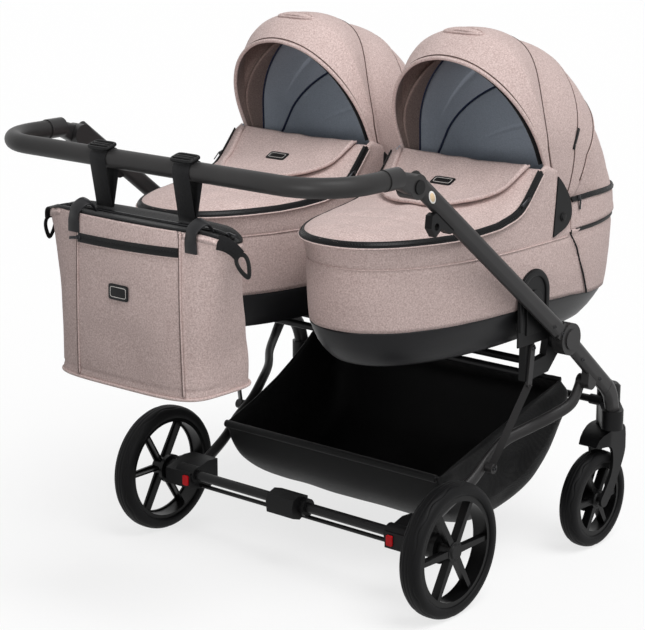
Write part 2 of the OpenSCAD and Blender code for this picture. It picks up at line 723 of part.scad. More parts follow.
module handle_arm(side) {
    color([0.2, 0.2, 0.21]) sided(side) difference() {
        union() {
            rod_x(side_x + run_gap / 2, pivot_out_x, pivot_y, pivot_z, pivot_disc_r);
            hull() {
                rod_x(side_x + run_gap / 2, pivot_out_x, pivot_y, pivot_z, pivot_disc_r - 4, $fn = 32);
                translate([side_x + 3, grip_end_y + 34, grip_z]) rotate([90, 0, 0])
                    cylinder(h = 8, r = grip_r - 3, $fn = 32);
            }
            translate([side_x + 3, grip_end_y + 40, grip_z]) rotate([90, 0, 0])
                cylinder(h = 40, r = grip_r + 1.5);
        }
        rod_x(pivot_in_x - 6, side_x + run_gap / 2, pivot_y, pivot_z, pivot_disc_r + 1);
        rod_x(side_x - 1, side_x + 9, pivot_y, pivot_z, 6 + pin_gap);
        rod_x(pivot_out_x - 7, pivot_out_x + 1, pivot_y, pivot_z, button_r + run_gap);
    }
}

module handle_button(side) {
    color([0.12, 0.12, 0.12]) sided(side) rod_x(pivot_out_x - 3, pivot_out_x + 3, pivot_y, pivot_z, button_r);
}

module grip() {
    corner = side_x + 3;
    color([0.25, 0.25, 0.26]) translate([0, frame_shift, grip_z])
        bent_run([[corner, grip_end_y], [corner, grip_y], [-corner, grip_y], [-corner, grip_end_y]],
                 grip_corner_r) circle(grip_r);
}

module fold_trigger(side) {
    drop = -tube_h / 2 - run_gap;
    color([0.08, 0.08, 0.08]) sided(side)
        translate([side_x, hub_y, hub_z]) rotate([90, 0, 90]) rotate([0, 0, 180 - push_slope])
            translate([push_len - 162, 0, -8]) linear_extrude(16) difference() {
                polygon([[0, -drop], [72, -drop], [78, -drop + 10], [66, -drop + 30], [44, -drop + 36],
                         [38, -drop + 14], [10, -drop + 10]]);
                translate([54, -drop + 19]) circle(7);
            }
}

// Bag and its straps

function bag_ring(z) =
    let (t = (z - bag_low_z) / (bag_top_z - bag_low_z),
         swell = bag_swell * sin(180 * min(1, max(0, t))),
         half = bag_low_half_w + (bag_top_half_w - bag_low_half_w) * pow(t, 2.2) + swell / 2,
         deep = bag_low_d + (bag_top_d - bag_low_d) * pow(t, 1.3) + swell,
         front = bag_front_y - swell / 2, e = 2 / (4.5 - 2 * t), n = 48)
    [for (k = [0 : n - 1]) let (a = 360 * (k + 0.5) / n, c = cos(a), s = sin(a))
        [bag_x + bag_lean * t + half * sign(c) * pow(abs(c), e), front + deep / 2 + deep / 2 * sign(s) * pow(abs(s), e), z]];
function drawn_in(ring, by) =
    let (mid = [bag_x, bag_front_y + bag_low_d / 2, ring[0][2]])
    [for (p = ring) mid + (p - mid) * by];
module bag() {
    rise = bag_top_z - bag_low_z;
    color([0.7, 0.62, 0.6]) sided(1) stack(concat(
        [[for (p = drawn_in(bag_ring(bag_low_z), 0.94)) p]],
        [for (t = [0.025, 0.1, 0.25, 0.42, 0.6, 0.76, 0.9, 1]) bag_ring(bag_low_z + rise * t)]));
}

module bag_straps() {
    inside = grip_r + run_gap;
    outside = inside + strap_t;
    skin = 0.3;
    drop = grip_z - bag_top_z - run_gap;
    color([0.06, 0.06, 0.06]) sided(1) for (x = strap_places)
        translate([0, grip_y, grip_z]) {
            side_plate(x - strap_w / 2, strap_w) {
                difference() {
                    circle(outside);
                    circle(inside);
                }
                for (leg = [[1, -strap_front_tilt], [-1, strap_back_tilt]]) {
                    fall = (drop - outside * abs(sin(leg[1]))) / cos(leg[1]);
                    rotate(leg[1]) translate([leg[0] > 0 ? inside + skin : -outside + skin, -fall])
                        square([strap_t - 2 * skin, fall + 1]);
                }
            }
            side_plate(x - strap_w / 2 - 4, strap_w + 8)
                translate([4, outside + 1]) square([22, 5], center = true);
        }
}

// Cots

module cot_place(side) {
    translate([0, frame_shift, 0]) translate([side * cot_x, 0, 0])
        mirror([side < 0 ? 1 : 0, 0, 0]) children();
}

module adaptor_arch(out) {
    width = 84;
    spring_z = 106;
    block_x = post_in - 4;
    plate_x = cot_half_w + 1.6;
    mirror([out < 0 ? 1 : 0, 0, 0]) difference() {
        union() {
            translate([block_x, post_y - width / 2, tub_z + 4])
                cube([plate_x + 4 - block_x, width, tub_top_z - tub_z - 4]);
            side_plate(plate_x, 4) {
                translate([post_y - width / 2, tub_z + 4]) square([width, spring_z - 4]);
                translate([post_y, tub_z + spring_z]) circle(width / 2);
            }
        }
        translate([post_in - run_gap, post_y - post_d / 2 - run_gap, tub_z])
            cube([post_w + 2 * run_gap, post_d + 2 * run_gap, post_top_z - tub_z + run_gap]);
        side_plate(plate_x + 1.5, 4) translate([post_y, tub_z + spring_z - 4]) circle(24);
    }
}

// Rings of a cot's cloth wall from the tub's rim up, drawn in by a thickness
function cot_rings(by) = [
    outline(cot_half_w - 5 - by, cot_foot_y + 22 + by, cot_head_y - 20 - by, tub_top_z),
    outline(cot_half_w - 1.5 - by, cot_foot_y + 20 + by, cot_head_y - 10 - by, tub_top_z + 66),
    outline(cot_half_w - by, cot_foot_y + 17 + by, cot_head_y - 3 - by, rim_z - 48),
    outline(cot_half_w - by, cot_foot_y + 2 + by, cot_head_y - by, rim_z)
];

module cot_tub(side) {
    mid = post_in - tub_clear;
    color([0.12, 0.12, 0.13]) cot_place(side) {
        stack([
            outline(tub_half_w - 14, cot_foot_y + 88, cot_head_y - 102, tub_z),
            outline(tub_half_w, cot_foot_y + 68, cot_head_y - 78, tub_z + 6),
            outline(mid, cot_foot_y + 38, cot_head_y - 42, (tub_z + tub_top_z) / 2),
            outline(cot_half_w - 5, cot_foot_y + 22, cot_head_y - 20, tub_top_z),
            outline(cot_half_w - 9, cot_foot_y + 26, cot_head_y - 24, tub_top_z),
            outline(mid - 4, cot_foot_y + 42, cot_head_y - 46, (tub_z + tub_top_z) / 2),
            outline(tub_half_w - 6, cot_foot_y + 76, cot_head_y - 86, tub_z + 12)]);
        adaptor_arch(1);
        adaptor_arch(-1);
    }
}

module cot_body(side) {
    color([0.72, 0.64, 0.62]) cot_place(side) difference() {
        union() {
            stack(concat(cot_rings(0), [for (k = [3 : -1 : 0]) cot_rings(cot_wall)[k]]), true);
            for (s = both) side_plate(s * (cot_half_w - cot_wall / 2) - cot_wall / 2, cot_wall)
                polygon([[132, rim_z - 12], [150, rim_z + 3], [hood_y - 72, shoulder_z],
                         [hood_y - 50, shoulder_z + 2], [hood_y - 20, shoulder_z - 30], [hood_y - 12, rim_z - 12]]);
        }
        rod_x(-cot_half_w - 1, cot_half_w + 1, hood_y, hood_z, hood_pin_r + run_gap);
    }
}

// Apron: domed cloth from the foot to the hood's opening, its edge lying just over the rim
apron_low = 2;
apron_lift = apron_t - apron_low + run_gap;
function apron_rise(y) = lookup(y, [[cot_foot_y, 3], [cot_foot_y + 40, 16], [-60, 26], [80, 34], [140, 44],
    [190, 60], [apron_end_y, shoulder_z - rim_z]]);
function apron_edge(y) = lookup(y, [[130, apron_low], [apron_end_y, shoulder_z - rim_z - 6]]);
function apron_point(u, y, down) =
    let (half = max(rim_half(y), 26) - cot_wall - run_gap, edge = apron_edge(y))
    [u * half, y, rim_z + apron_lift + edge + (apron_rise(y) - edge) * pow(1 - u * u, 0.6) - down];
module apron(side) {
    across = [for (k = [-8 : 8]) k / 8];
    along = [for (k = [0 : 20]) cot_foot_y + 8 + (apron_end_y - cot_foot_y - 8) * pow(k / 20, 1.3)];
    rows = [for (y = along) concat([for (u = across) apron_point(u, y, 0)],
        [for (k = [8 : -1 : -8]) apron_point(k / 8, y, apron_t)])];
    color([0.72, 0.64, 0.62]) cot_place(side) stack(rows);
}

// Hoods: panels turning about the pivot, each stepped inside the one before

// Section of a panel, as radius and sideways place, with a fuller or plainer arch
function arch_line(half, crown, full) = [for (k = [-10 : 10]) let (x = sin(k * 9))
    [hood_foot_r + (crown - hood_foot_r) * pow(max(0, 1 - pow(abs(x), full)), 1 / full), half * x]];
function panel_section(half, crown, full) = let (inner = arch_line(half - hood_t, crown - hood_t, full)) concat(
    [[hood_wing_r, -half]], arch_line(half, crown, full), [[hood_wing_r, half]],
    [[hood_wing_r, half - hood_t]], [for (k = [20 : -1 : 0]) inner[k]], [[hood_wing_r, -half + hood_t]]);
module hood_shell(half, crown, turn, span) {
    rotate([90, 0, 90]) rotate([0, 0, turn]) rotate_extrude(angle = span, $fn = 96)
        polygon(panel_section(half, crown, 2));
}

// Arms that carry a moving panel on its two pivot pins
module hood_arms(half, turn) {
    arm_t = hood_t - 1;
    for (s = both) side_plate(s * (half - hood_t / 2) - arm_t / 2, arm_t) difference() {
        union() {
            circle(hood_pin_r + 6);
            rotate(turn) translate([0, -9]) square([hood_wing_r + 6, 18]);
        }
        circle(hood_pin_r + pin_gap);
    }
}

module hood_pivot(side) {
    cot_place(side) translate([0, hood_y, hood_z]) children();
}

// The front panel swells behind its edge: turn behind that edge, drop of the crown, fullness
front_swell = [[0, 23, 2], [4, 13, 2.1], [8, 5, 2.3], [13, 0, 2.45], [19, 1, 2.45], [25, 5, 2.3], [30, 11, 2.1]];
module hood_front(side) {
    rings = [for (f = front_swell) let (turn = hood_front_turn - f[0])
        [for (p = panel_section(hood_half_w, hood_crown_r - f[1], f[2]))
            [p[1], p[0] * cos(turn), p[0] * sin(turn)]]];
    color([0.74, 0.66, 0.64]) hood_pivot(side) {
        stack(rings);
        hood_arms(hood_half_w, hood_front_turn - hood_span / 2);
    }
}

module hood_mid(side) {
    half = hood_half_w - hood_layer;
    color([0.73, 0.65, 0.63]) hood_pivot(side) {
        hood_shell(half, hood_mid_r, hood_mid_turn, hood_mid_span);
        hood_arms(half, hood_mid_turn + hood_mid_span / 2);
    }
}

// The back panel stays put, with its lower edge just over the cot's rim
module hood_back(side) {
    seat = rim_z + run_gap;
    color([0.72, 0.64, 0.62]) difference() {
        hood_pivot(side)
            hood_shell(hood_half_w - 2 * hood_layer, hood_back_r, -3, hood_mid_turn + hood_overlap + 3);
        cot_place(side) translate([-cot_half_w, hood_y - 10, seat - 60]) cube([2 * cot_half_w, cot_head_y, 60]);
    }
}

module hood_brackets(side) {
    color([0.15, 0.15, 0.15]) cot_place(side) for (s = both) mirror([s < 0 ? 1 : 0, 0, 0]) {
        side_plate(cot_half_w + run_gap, 3) polygon([
            [hood_y - 32, hood_z - 37], [hood_y - 18, hood_z + 84], [hood_y + 26, hood_z + 37],
            [hood_y + 31, hood_z - 2], [hood_y + 17, hood_z - 25]]);
        rod_x(cot_half_w + run_gap, cot_half_w + 7, hood_y, hood_z, hood_pin_r + 3);
        rod_x(hood_half_w - 2 * hood_layer - 1, cot_half_w + run_gap + 1, hood_y, hood_z, hood_pin_r);
    }
}

lower_tube(1);  // lower_tube_r
lower_tube(-1);  // lower_tube_l
rear_leg(1);  // rear_leg_r
rear_leg(-1);  // rear_leg_l
adaptor_post(1);  // adaptor_post_r
adaptor_post(-1);  // adaptor_post_l
adaptor_post_mid();
cross_tube(post_y - 5, post_low_z + 14, post_x - post_w / 2);  // cross_tube_back
cross_tube(post_y + 32, post_low_z + 28, post_x - post_w / 2);  // cross_tube_front
strut(1);  // strut_r
strut(-1);  // strut_l
nose_tube();
swivel_head(1);  // swivel_head_r
swivel_head(-1);  // swivel_head_l
axle_housing(1);  // axle_housing_r
axle_housing(-1);  // axle_housing_l
axle_tube();
basket();
rear_tyre(1);  // rear_tyre_r
rear_tyre(-1);  // rear_tyre_l
rear_rim(1);  // rear_rim_r
rear_rim(-1);  // rear_rim_l
front_tyre(1);  // front_tyre_r
front_tyre(-1);  // front_tyre_l
front_rim(1);  // front_rim_r
front_rim(-1);  // front_rim_l
fork(1);  // fork_r
fork(-1);  // fork_l
brake_pedal();
brake_rod();
release_button(1);  // release_button_r
release_button(-1);  // release_button_l
push_tube(1);  // push_tube_r
push_tube(-1);  // push_tube_l
fold_trigger(1);  // fold_trigger_r
fold_trigger(-1);  // fold_trigger_l
handle_arm(1);  // handle_arm_r
handle_arm(-1);  // handle_arm_l
grip();
handle_button(1);  // handle_button_r
handle_button(-1);  // handle_button_l
bag();
bag_straps();
cot_tub(1);  // cot_tub_r
cot_tub(-1);  // cot_tub_l
cot_body(1);  // cot_body_r
cot_body(-1);  // cot_body_l
apron(1);  // apron_r
apron(-1);  // apron_l
hood_front(1);  // hood_front_r
hood_front(-1);  // hood_front_l
hood_mid(1);  // hood_mid_r
hood_mid(-1);  // hood_mid_l
hood_back(1);  // hood_back_r
hood_back(-1);  // hood_back_l
hood_brackets(1);  // hood_brackets_r
hood_brackets(-1);  // hood_brackets_l
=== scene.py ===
import math

import bmesh
import bpy
import numpy as np
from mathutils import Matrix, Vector, noise


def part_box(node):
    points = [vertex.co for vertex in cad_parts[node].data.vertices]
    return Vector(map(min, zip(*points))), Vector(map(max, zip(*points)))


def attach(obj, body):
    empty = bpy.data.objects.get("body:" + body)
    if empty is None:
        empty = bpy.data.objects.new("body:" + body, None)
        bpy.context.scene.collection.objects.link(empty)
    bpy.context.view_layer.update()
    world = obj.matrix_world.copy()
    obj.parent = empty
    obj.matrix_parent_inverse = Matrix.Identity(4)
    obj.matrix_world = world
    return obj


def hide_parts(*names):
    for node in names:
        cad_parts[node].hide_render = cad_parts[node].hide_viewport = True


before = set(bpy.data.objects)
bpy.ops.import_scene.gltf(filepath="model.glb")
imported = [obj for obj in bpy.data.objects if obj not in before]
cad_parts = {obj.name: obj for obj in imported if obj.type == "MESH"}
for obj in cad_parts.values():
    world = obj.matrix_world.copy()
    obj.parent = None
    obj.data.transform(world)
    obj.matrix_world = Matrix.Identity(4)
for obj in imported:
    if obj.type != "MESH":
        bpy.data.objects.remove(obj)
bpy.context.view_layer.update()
scene = bpy.context.scene


# Studio: a pale floor in a white surround, two broad soft lamps, a spot into the hoods and the
# photograph's viewpoint. The surround is white where it is seen or mirrored, and lights the pram at
# a lower, even level.

def linear(code):
    """Colour written as sRGB hex, as the linear colour that shaders take."""
    parts = [int(code[k:k + 2], 16) / 255 for k in (1, 3, 5)]
    return [p / 12.92 if p <= 0.04045 else ((p + 0.055) / 1.055) ** 2.4 for p in parts] + [1.0]


def add_node(tree, kind, inputs=None, **settings):
    """Adds a node to a tree with its settings, and sets or links its inputs."""
    made = tree.nodes.new(kind)
    for key, value in settings.items():
        setattr(made, key, value)
    for key, value in (inputs or {}).items():
        if isinstance(value, bpy.types.NodeSocket):
            tree.links.new(value, made.inputs[key])
        else:
            made.inputs[key].default_value = value
    return made


def empty_tree(block):
    """Node tree of a new material or world, emptied."""
    block.use_nodes = True
    block.node_tree.nodes.clear()
    return block.node_tree


def seen_directly(tree):
    """Mask of the rays that show a surface: the camera's own, and those mirrored or let through."""
    rays = add_node(tree, "ShaderNodeLightPath").outputs
    seen = add_node(tree, "ShaderNodeMath", {0: rays["Is Camera Ray"], 1: rays["Is Glossy Ray"]},
                    operation="MAXIMUM")
    return add_node(tree, "ShaderNodeMath", {0: seen.outputs[0], 1: rays["Is Transmission Ray"]},
                    operation="MAXIMUM").outputs[0]


white = linear("#ffffff")
scene.view_settings.view_transform = "Standard"
surround = bpy.data.worlds.new("white_surround")
scene.world = surround
tree = empty_tree(surround)
soft_sky = add_node(tree, "ShaderNodeBackground", {"Color": white, "Strength": 0.37})
white_sky = add_node(tree, "ShaderNodeBackground", {"Color": white, "Strength": 1.0})
sky = add_node(tree, "ShaderNodeMixShader", {
    0: seen_directly(tree), 1: soft_sky.outputs[0], 2: white_sky.outputs[0]})
add_node(tree, "ShaderNodeOutputWorld", {"Surface": sky.outputs[0]})

for name, energy, spread, source in (("soft_key", 1.9, 35, (0.45, -0.1, 0.88)),
                                     ("side_fill", 0.75, 60, (1.0, -0.15, 0.3))):
    lamp = bpy.data.lights.new(name, "SUN")
    lamp.energy = energy
    lamp.angle = math.radians(spread)
    light = bpy.data.objects.new(name, lamp)
    light.rotation_euler = Vector(source).to_track_quat("Z", "Y").to_euler()
    scene.collection.objects.link(light)

# A soft-edged spot from behind the pusher reaches into the hoods, over the handle.
hood_spot = bpy.data.lights.new("hood_spot", "SPOT")
hood_spot.energy = 120
hood_spot.spot_size = math.radians(27)
hood_spot.spot_blend = 1.0
hood_spot.shadow_soft_size = 0.25
light = bpy.data.objects.new("hood_spot", hood_spot)
light.location = (0.9, -2.6, 1.35)
light.rotation_euler = Vector((0.9, -2.8, 0.36)).to_track_quat("Z", "Y").to_euler()
scene.collection.objects.link(light)

# The floor is seen nearly white with a light shadow, and throws back less light than it shows.
floor_paint = bpy.data.materials.new("pale_studio_floor")
tree = empty_tree(floor_paint)
shown = add_node(tree, "ShaderNodeEmission", {"Color": white, "Strength": 1.0})
shaded = add_node(tree, "ShaderNodeBsdfDiffuse", {"Color": white})
thrown = add_node(tree, "ShaderNodeBsdfDiffuse", {"Color": linear("#9c9c9c")})
pale = add_node(tree, "ShaderNodeMixShader", {0: 0.26, 1: shown.outputs[0], 2: shaded.outputs[0]})
floor = add_node(tree, "ShaderNodeMixShader", {
    0: seen_directly(tree), 1: thrown.outputs[0], 2: pale.outputs[0]})
add_node(tree, "ShaderNodeOutputMaterial", {"Surface": floor.outputs[0]})
floor_mesh = bpy.data.meshes.new("studio_floor")
floor_mesh.from_pydata([(-40, -40, 0), (40, -40, 0), (40, 40, 0), (-40, 40, 0)], [], [(0, 1, 2, 3)])
floor_mesh.materials.append(floor_paint)
studio_floor = bpy.data.objects.new("studio_floor", floor_mesh)
scene.collection.objects.link(studio_floor)

# The photograph's camera, worked out from the wheels, the axle, the grip and the cots' rims.
view = bpy.data.cameras.new("photo_view")
view.lens = 113.72
view.sensor_width = 36
camera = bpy.data.objects.new("photo_view", view)
camera.location = (2.6336, -3.0774, 1.5706)
camera.rotation_euler = (math.radians(75.6055), 0, math.radians(40.5351))
scene.collection.objects.link(camera)
scene.camera = camera


# Chassis tubes: oval aluminium side tubes and flat struts under a graphite powder coat, round black
# cross tubes between them, bent and drilled, then pinned to moulded nylon joints.

def moulded(name, dark, light, grain_mm, bump_mm, roughness, shine=0.2, **sockets):
    """Coated or moulded surface: a faint cloud of two tones and a fine raised grain of the given size."""
    finish = bpy.data.materials.new(name)
    tree = empty_tree(finish)
    place = add_node(tree, "ShaderNodeTexCoord").outputs["Object"]
    grain = add_node(tree, "ShaderNodeTexNoise", {"Vector": place, "Scale": 1000 / grain_mm, "Detail": 2.0})
    cloud = add_node(tree, "ShaderNodeTexNoise", {
        "Vector": place, "Scale": 1000 / (grain_mm * 30), "Detail": 4.0})
    tone = add_node(tree, "ShaderNodeMix", {0: cloud.outputs["Fac"], 6: linear(dark), 7: linear(light)},
                    data_type="RGBA")
    gloss = add_node(tree, "ShaderNodeMapRange", {
        0: grain.outputs["Fac"], 3: roughness - 0.08, 4: roughness + 0.08})
    relief = add_node(tree, "ShaderNodeBump", {"Height": grain.outputs["Fac"], "Distance": bump_mm / 1000,
                                               "Strength": 0.6})
    shader = add_node(tree, "ShaderNodeBsdfPrincipled", {
        "Base Color": tone.outputs[2], "Roughness": gloss.outputs[0], "Normal": relief.outputs[0],
        "Specular IOR Level": shine, **sockets})
    add_node(tree, "ShaderNodeOutputMaterial", {"Surface": shader.outputs[0]})
    return finish


def rounded_shading():
    """Tree that joins a solid's loose triangles and shades them smooth, but for edges over 32 degrees."""
    tree = bpy.data.node_groups.new("rounded_shading", "GeometryNodeTree")
    tree.is_modifier = True
    tree.interface.new_socket("Geometry", in_out="INPUT", socket_type="NodeSocketGeometry")
    limit = tree.interface.new_socket("Sharp angle", in_out="INPUT", socket_type="NodeSocketFloat")
    limit.default_value = math.radians(32)
    tree.interface.new_socket("Geometry", in_out="OUTPUT", socket_type="NodeSocketGeometry")
    given = add_node(tree, "NodeGroupInput")
    joined = add_node(tree, "GeometryNodeMergeByDistance", {
        "Geometry": given.outputs[0], "Distance": 0.00001})
    smooth = add_node(tree, "GeometryNodeSetShadeSmooth", {
        "Geometry": joined.outputs[0], "Shade Smooth": True})
    angle = add_node(tree, "GeometryNodeInputMeshEdgeAngle")
    sharp = add_node(tree, "FunctionNodeCompare", {0: angle.outputs[0], 1: given.outputs[1]},
                     data_type="FLOAT", operation="GREATER_THAN")
    split = add_node(tree, "GeometryNodeSetShadeSmooth", {
        "Geometry": smooth.outputs[0], "Selection": sharp.outputs[0], "Shade Smooth": False}, domain="EDGE")
    add_node(tree, "NodeGroupOutput", {0: split.outputs[0]})
    return tree


smoothing = rounded_shading()


def coat(finish, *names):
    """Gives CAD nodes their finish and smooth shading."""
    for name in names:
        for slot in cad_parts[name].material_slots:
            slot.material = finish
        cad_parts[name].modifiers.new("rounded_shading", "NODES").node_group = smoothing


# Powder coat on aluminium: satin with the faint orange peel that baked powder leaves.
# The peel is about 1 mm and drawn at 2 mm, as finer would not show.
graphite_coat = moulded("graphite_powder_coat", "#292829", "#323131", 2.0, 0.05, 0.36, 0.2)
black_coat = moulded("black_powder_coat", "#111112", "#19191a", 2.0, 0.05, 0.4)
coat(graphite_coat, "lower_tube_r", "lower_tube_l", "push_tube_r", "push_tube_l")
coat(graphite_coat, "strut_r", "strut_l")
coat(black_coat, "cross_tube_back", "cross_tube_front", "nose_tube", "axle_tube", "brake_rod")

# Glass-filled nylon: near black with a spark-eroded matt grain from the mould.
black_nylon = moulded("black_moulded_nylon", "#0d0d0e", "#141415", 1.6, 0.12, 0.45, 0.16)
coat(black_nylon, "adaptor_post_r", "adaptor_post_l", "adaptor_post_mid", "swivel_head_r", "swivel_head_l")
coat(black_nylon, "fork_r", "fork_l", "axle_housing_r", "axle_housing_l", "brake_pedal")
coat(black_nylon, "fold_trigger_r", "fold_trigger_l", "handle_button_r", "handle_button_l")

# Red acetal of the release buttons, glossier than the housing so that it is found by eye.
red_acetal = moulded("red_acetal", "#c8101a", "#e0151f", 1.6, 0.05, 0.32)
coat(red_acetal, "release_button_r", "release_button_l")

# The handle's arms have the tubes' colour, moulded over aluminium.
coat(graphite_coat, "handle_arm_r", "handle_arm_l")


# Rear legs: oval tubes bent in an S from the hinge under each side tube down to the axle housing.
# Each is one piece of bent aluminium with the same powder coat as the side tubes.

axle_y = sum(corner[1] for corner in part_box("rear_tyre_r")) / 2


def from_axle(points):
    """Points in mm, measured from the rear axle and the floor, as metres in the part's frame."""
    return np.asarray(points, float) / 1000 + (0, axle_y, 0)


def smooth_route(points, steps):
    """Smooth route through points, with some steps to each stretch."""
    points = np.asarray(points, float)
    ends = np.vstack([points[:1], points, points[-1:]])
    t = np.linspace(0, 1, steps, endpoint=False)[:, None]
    parts = []
    for a, b, c, d in zip(ends[:-3], ends[1:-2], ends[2:-1], ends[3:]):
        parts.append((2 * b + (c - a) * t + (2 * a - 5 * b + 4 * c - d) * t ** 2
                      + (3 * b - a - 3 * c + d) * t ** 3) / 2)
    return np.vstack(parts + [points[-1:]])


def unit(vectors):
    """Vectors made one long."""
    vectors = np.asarray(vectors, float)
    return vectors / np.maximum(np.linalg.norm(vectors, axis=-1, keepdims=True), 1e-9)


def skin(name, rows, around=False, looped=False, caps=False, outwards=True):
    """Mesh over rows of points: around joins each row's ends, looped joins the last row to the first."""
    rows = np.asarray(rows, float)
    count, wide = rows.shape[:2]
    faces = []
    for i in range(count if looped else count - 1):
        j = (i + 1) % count
        for k in range(wide if around else wide - 1):
            m = (k + 1) % wide
            faces.append((i * wide + k, i * wide + m, j * wide + m, j * wide + k))
    if caps:
        faces.append(tuple(range(wide - 1, -1, -1)))
        faces.append(tuple((count - 1) * wide + k for k in range(wide)))
    mesh = bpy.data.meshes.new(name)
    mesh.from_pydata(rows.reshape(-1, 3).tolist(), [], faces)
    if outwards:
        work = bmesh.new()
        work.from_mesh(mesh)
        bmesh.ops.recalc_face_normals(work, faces=work.faces)
        work.to_mesh(mesh)
        work.free()
    mesh.shade_smooth()
    return mesh


def swept(name, route, outs, section, looped=False):
    """Tube or band: a section of (across, out) points carried along a route and turned to face outs."""
    route = np.asarray(route, float)
    section = np.asarray(section, float)
    if looped:
        ahead = unit(np.roll(route, -1, 0) - np.roll(route, 1, 0))
    else:
        ahead = unit(np.gradient(route, axis=0))
    outs = np.broadcast_to(np.asarray(outs, float), route.shape)
    outs = unit(outs - ahead * (outs * ahead).sum(1, keepdims=True))
    across = np.cross(ahead, outs)
    rows = route[:, None] + across[:, None] * section[None, :, :1] + outs[:, None] * section[None, :, 1:]
    return skin(name, rows, around=True, looped=looped, caps=not looped)


def oval(wide, high, count=24):
    """Oval section, wide across and high along out, in metres."""
    turn = np.arange(count) * 2 * math.pi / count
    return np.stack([wide / 2 * np.cos(turn), high / 2 * np.sin(turn)], 1)


def joined(name, *meshes):
    """Several meshes as one."""
    work = bmesh.new()
    for mesh in meshes:
        work.from_mesh(mesh)
        bpy.data.meshes.remove(mesh)
    result = bpy.data.meshes.new(name)
    work.to_mesh(result)
    work.free()
    return result


def fit(name, mesh, body, finish, slot, *nodes):
    """Puts a mesh in the scene as a piece with its finish, riding on a body, in place of any CAD nodes."""
    piece = bpy.data.objects.new(name, mesh)
    scene.collection.objects.link(piece)
    if finish:
        mesh.materials.append(finish)
    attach(piece, body)
    if nodes:
        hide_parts(*nodes)
    return piece


sides = {"r": 1, "l": -1}
# Middle line of the right leg and its hinge eye, in mm from the rear axle and the floor.
leg_route = [(412, 415, 390), (410, 387, 352), (390, 347, 329), (360, 309, 307), (335, 258, 286),
             (325, 213, 254), (324, 162, 222), (312, 108, 190.5), (303, 14, 145.5)]
hinge_eye = [(408, 417, 394), (421.6, 417, 394)]
for tag, side in sides.items():
    mirror = (side, 1, 1)
    leg = swept("leg", from_axle(smooth_route(leg_route, 10)) * mirror, (0, 0, 1), oval(0.019, 0.026))
    eye = swept("eye", from_axle(np.linspace(*hinge_eye, 3)) * mirror, (0, 0, 1), oval(0.030, 0.030, 40))
    piece = fit("rear_leg_tube_" + tag, joined("rear_leg", leg, eye), "rear_legs", graphite_coat,
                "frame_paint", "rear_leg_" + tag)
    piece.modifiers.new("rounded_shading", "NODES").node_group = smoothing


# Wheels: foam tyres with two wavy grooves and two fine lines round the tread, on six-spoke nylon rims.
# The tyre's skin is the closed, faintly pitted face of moulded foam, stretched over the rim.

def full_turn(count):
    """Angles round a circle, in radians."""
    return np.linspace(0, 2 * math.pi, count, endpoint=False)


tyre_foam = moulded("moulded_tyre_foam", "#0b0b0c", "#121213", 2.4, 0.25, 0.55, 0.12)
rim_nylon = moulded("wheel_nylon", "#090909", "#101011", 1.6, 0.06, 0.32, 0.15)
tyre_depth, tread_square, tread_drop = 25.0, 2.6, 0.72
for end, radius, wide in (("rear", 137.5, 45), ("front", 105.5, 41)):
    half = wide / 2
    seat = radius - tyre_depth
    face = half * np.sin(np.linspace(-1, 1, 61) * math.pi / 2)
    bulge = np.maximum(0, 1 - np.abs(face / half) ** tread_square) ** (1 / tread_square)
    crown = radius - tyre_depth * (1 - bulge) * tread_drop
    fine_lines = 0.9 * np.exp(-((np.abs(face) - half * 0.18) / 1.2) ** 2)
    across = np.concatenate([face, [half - 1, 1 - half]]) / 1000
    for tag in sides:
        rows = []
        for turn in full_turn(240):
            wave = half * (0.62 + 0.1 * math.sin(turn * 14))
            groove = 1.3 * np.exp(-((np.abs(face) - wave) / 1.5) ** 2)
            reach = np.concatenate([crown - groove - fine_lines, [seat, seat]]) / 1000
            rows.append(np.stack([across, reach * math.cos(turn), reach * math.sin(turn)], 1))
        middle = np.mean(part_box(f"{end}_tyre_{tag}"), 0)
        mesh = skin(f"{end}_tyre", np.array(rows) + middle, around=True, looped=True)
        fit(f"{end}_tyre_foam_{tag}", mesh, f"{end}_wheel_{tag}", tyre_foam, "tyre_foam",
            f"{end}_tyre_{tag}")
coat(rim_nylon, "rear_rim_r", "rear_rim_l", "front_rim_r", "front_rim_l")


# Screws and rivets: blackened steel heads with a sunk middle, driven into the tubes and joints.
# One tree of nodes sets a head at each point of a list, facing the way stored with the point.

def grouped_tree(name, sizes):
    """New tree with a geometry input and named inputs for sizes and finish, and those inputs' sockets."""
    tree = bpy.data.node_groups.new(name, "GeometryNodeTree")
    tree.is_modifier = True
    tree.interface.new_socket("Geometry", in_out="INPUT", socket_type="NodeSocketGeometry")
    for label, kind in sizes:
        tree.interface.new_socket(label, in_out="INPUT", socket_type=kind)
    tree.interface.new_socket("Geometry", in_out="OUTPUT", socket_type="NodeSocketGeometry")
    return tree, add_node(tree, "NodeGroupInput").outputs


def set_on_points(tree, points, shape, turned, finish):
    """Ends a tree: a shape on each point, turned its way, made real and given its finish."""
    spread = add_node(tree, "GeometryNodeInstanceOnPoints", {
        "Points": points, "Instance": shape, "Rotation": turned.outputs[0]})
    real = add_node(tree, "GeometryNodeRealizeInstances", {0: spread.outputs[0]})
    dressed = add_node(tree, "GeometryNodeSetMaterial", {"Geometry": real.outputs[0], "Material": finish})
    add_node(tree, "NodeGroupOutput", {0: dressed.outputs[0]})


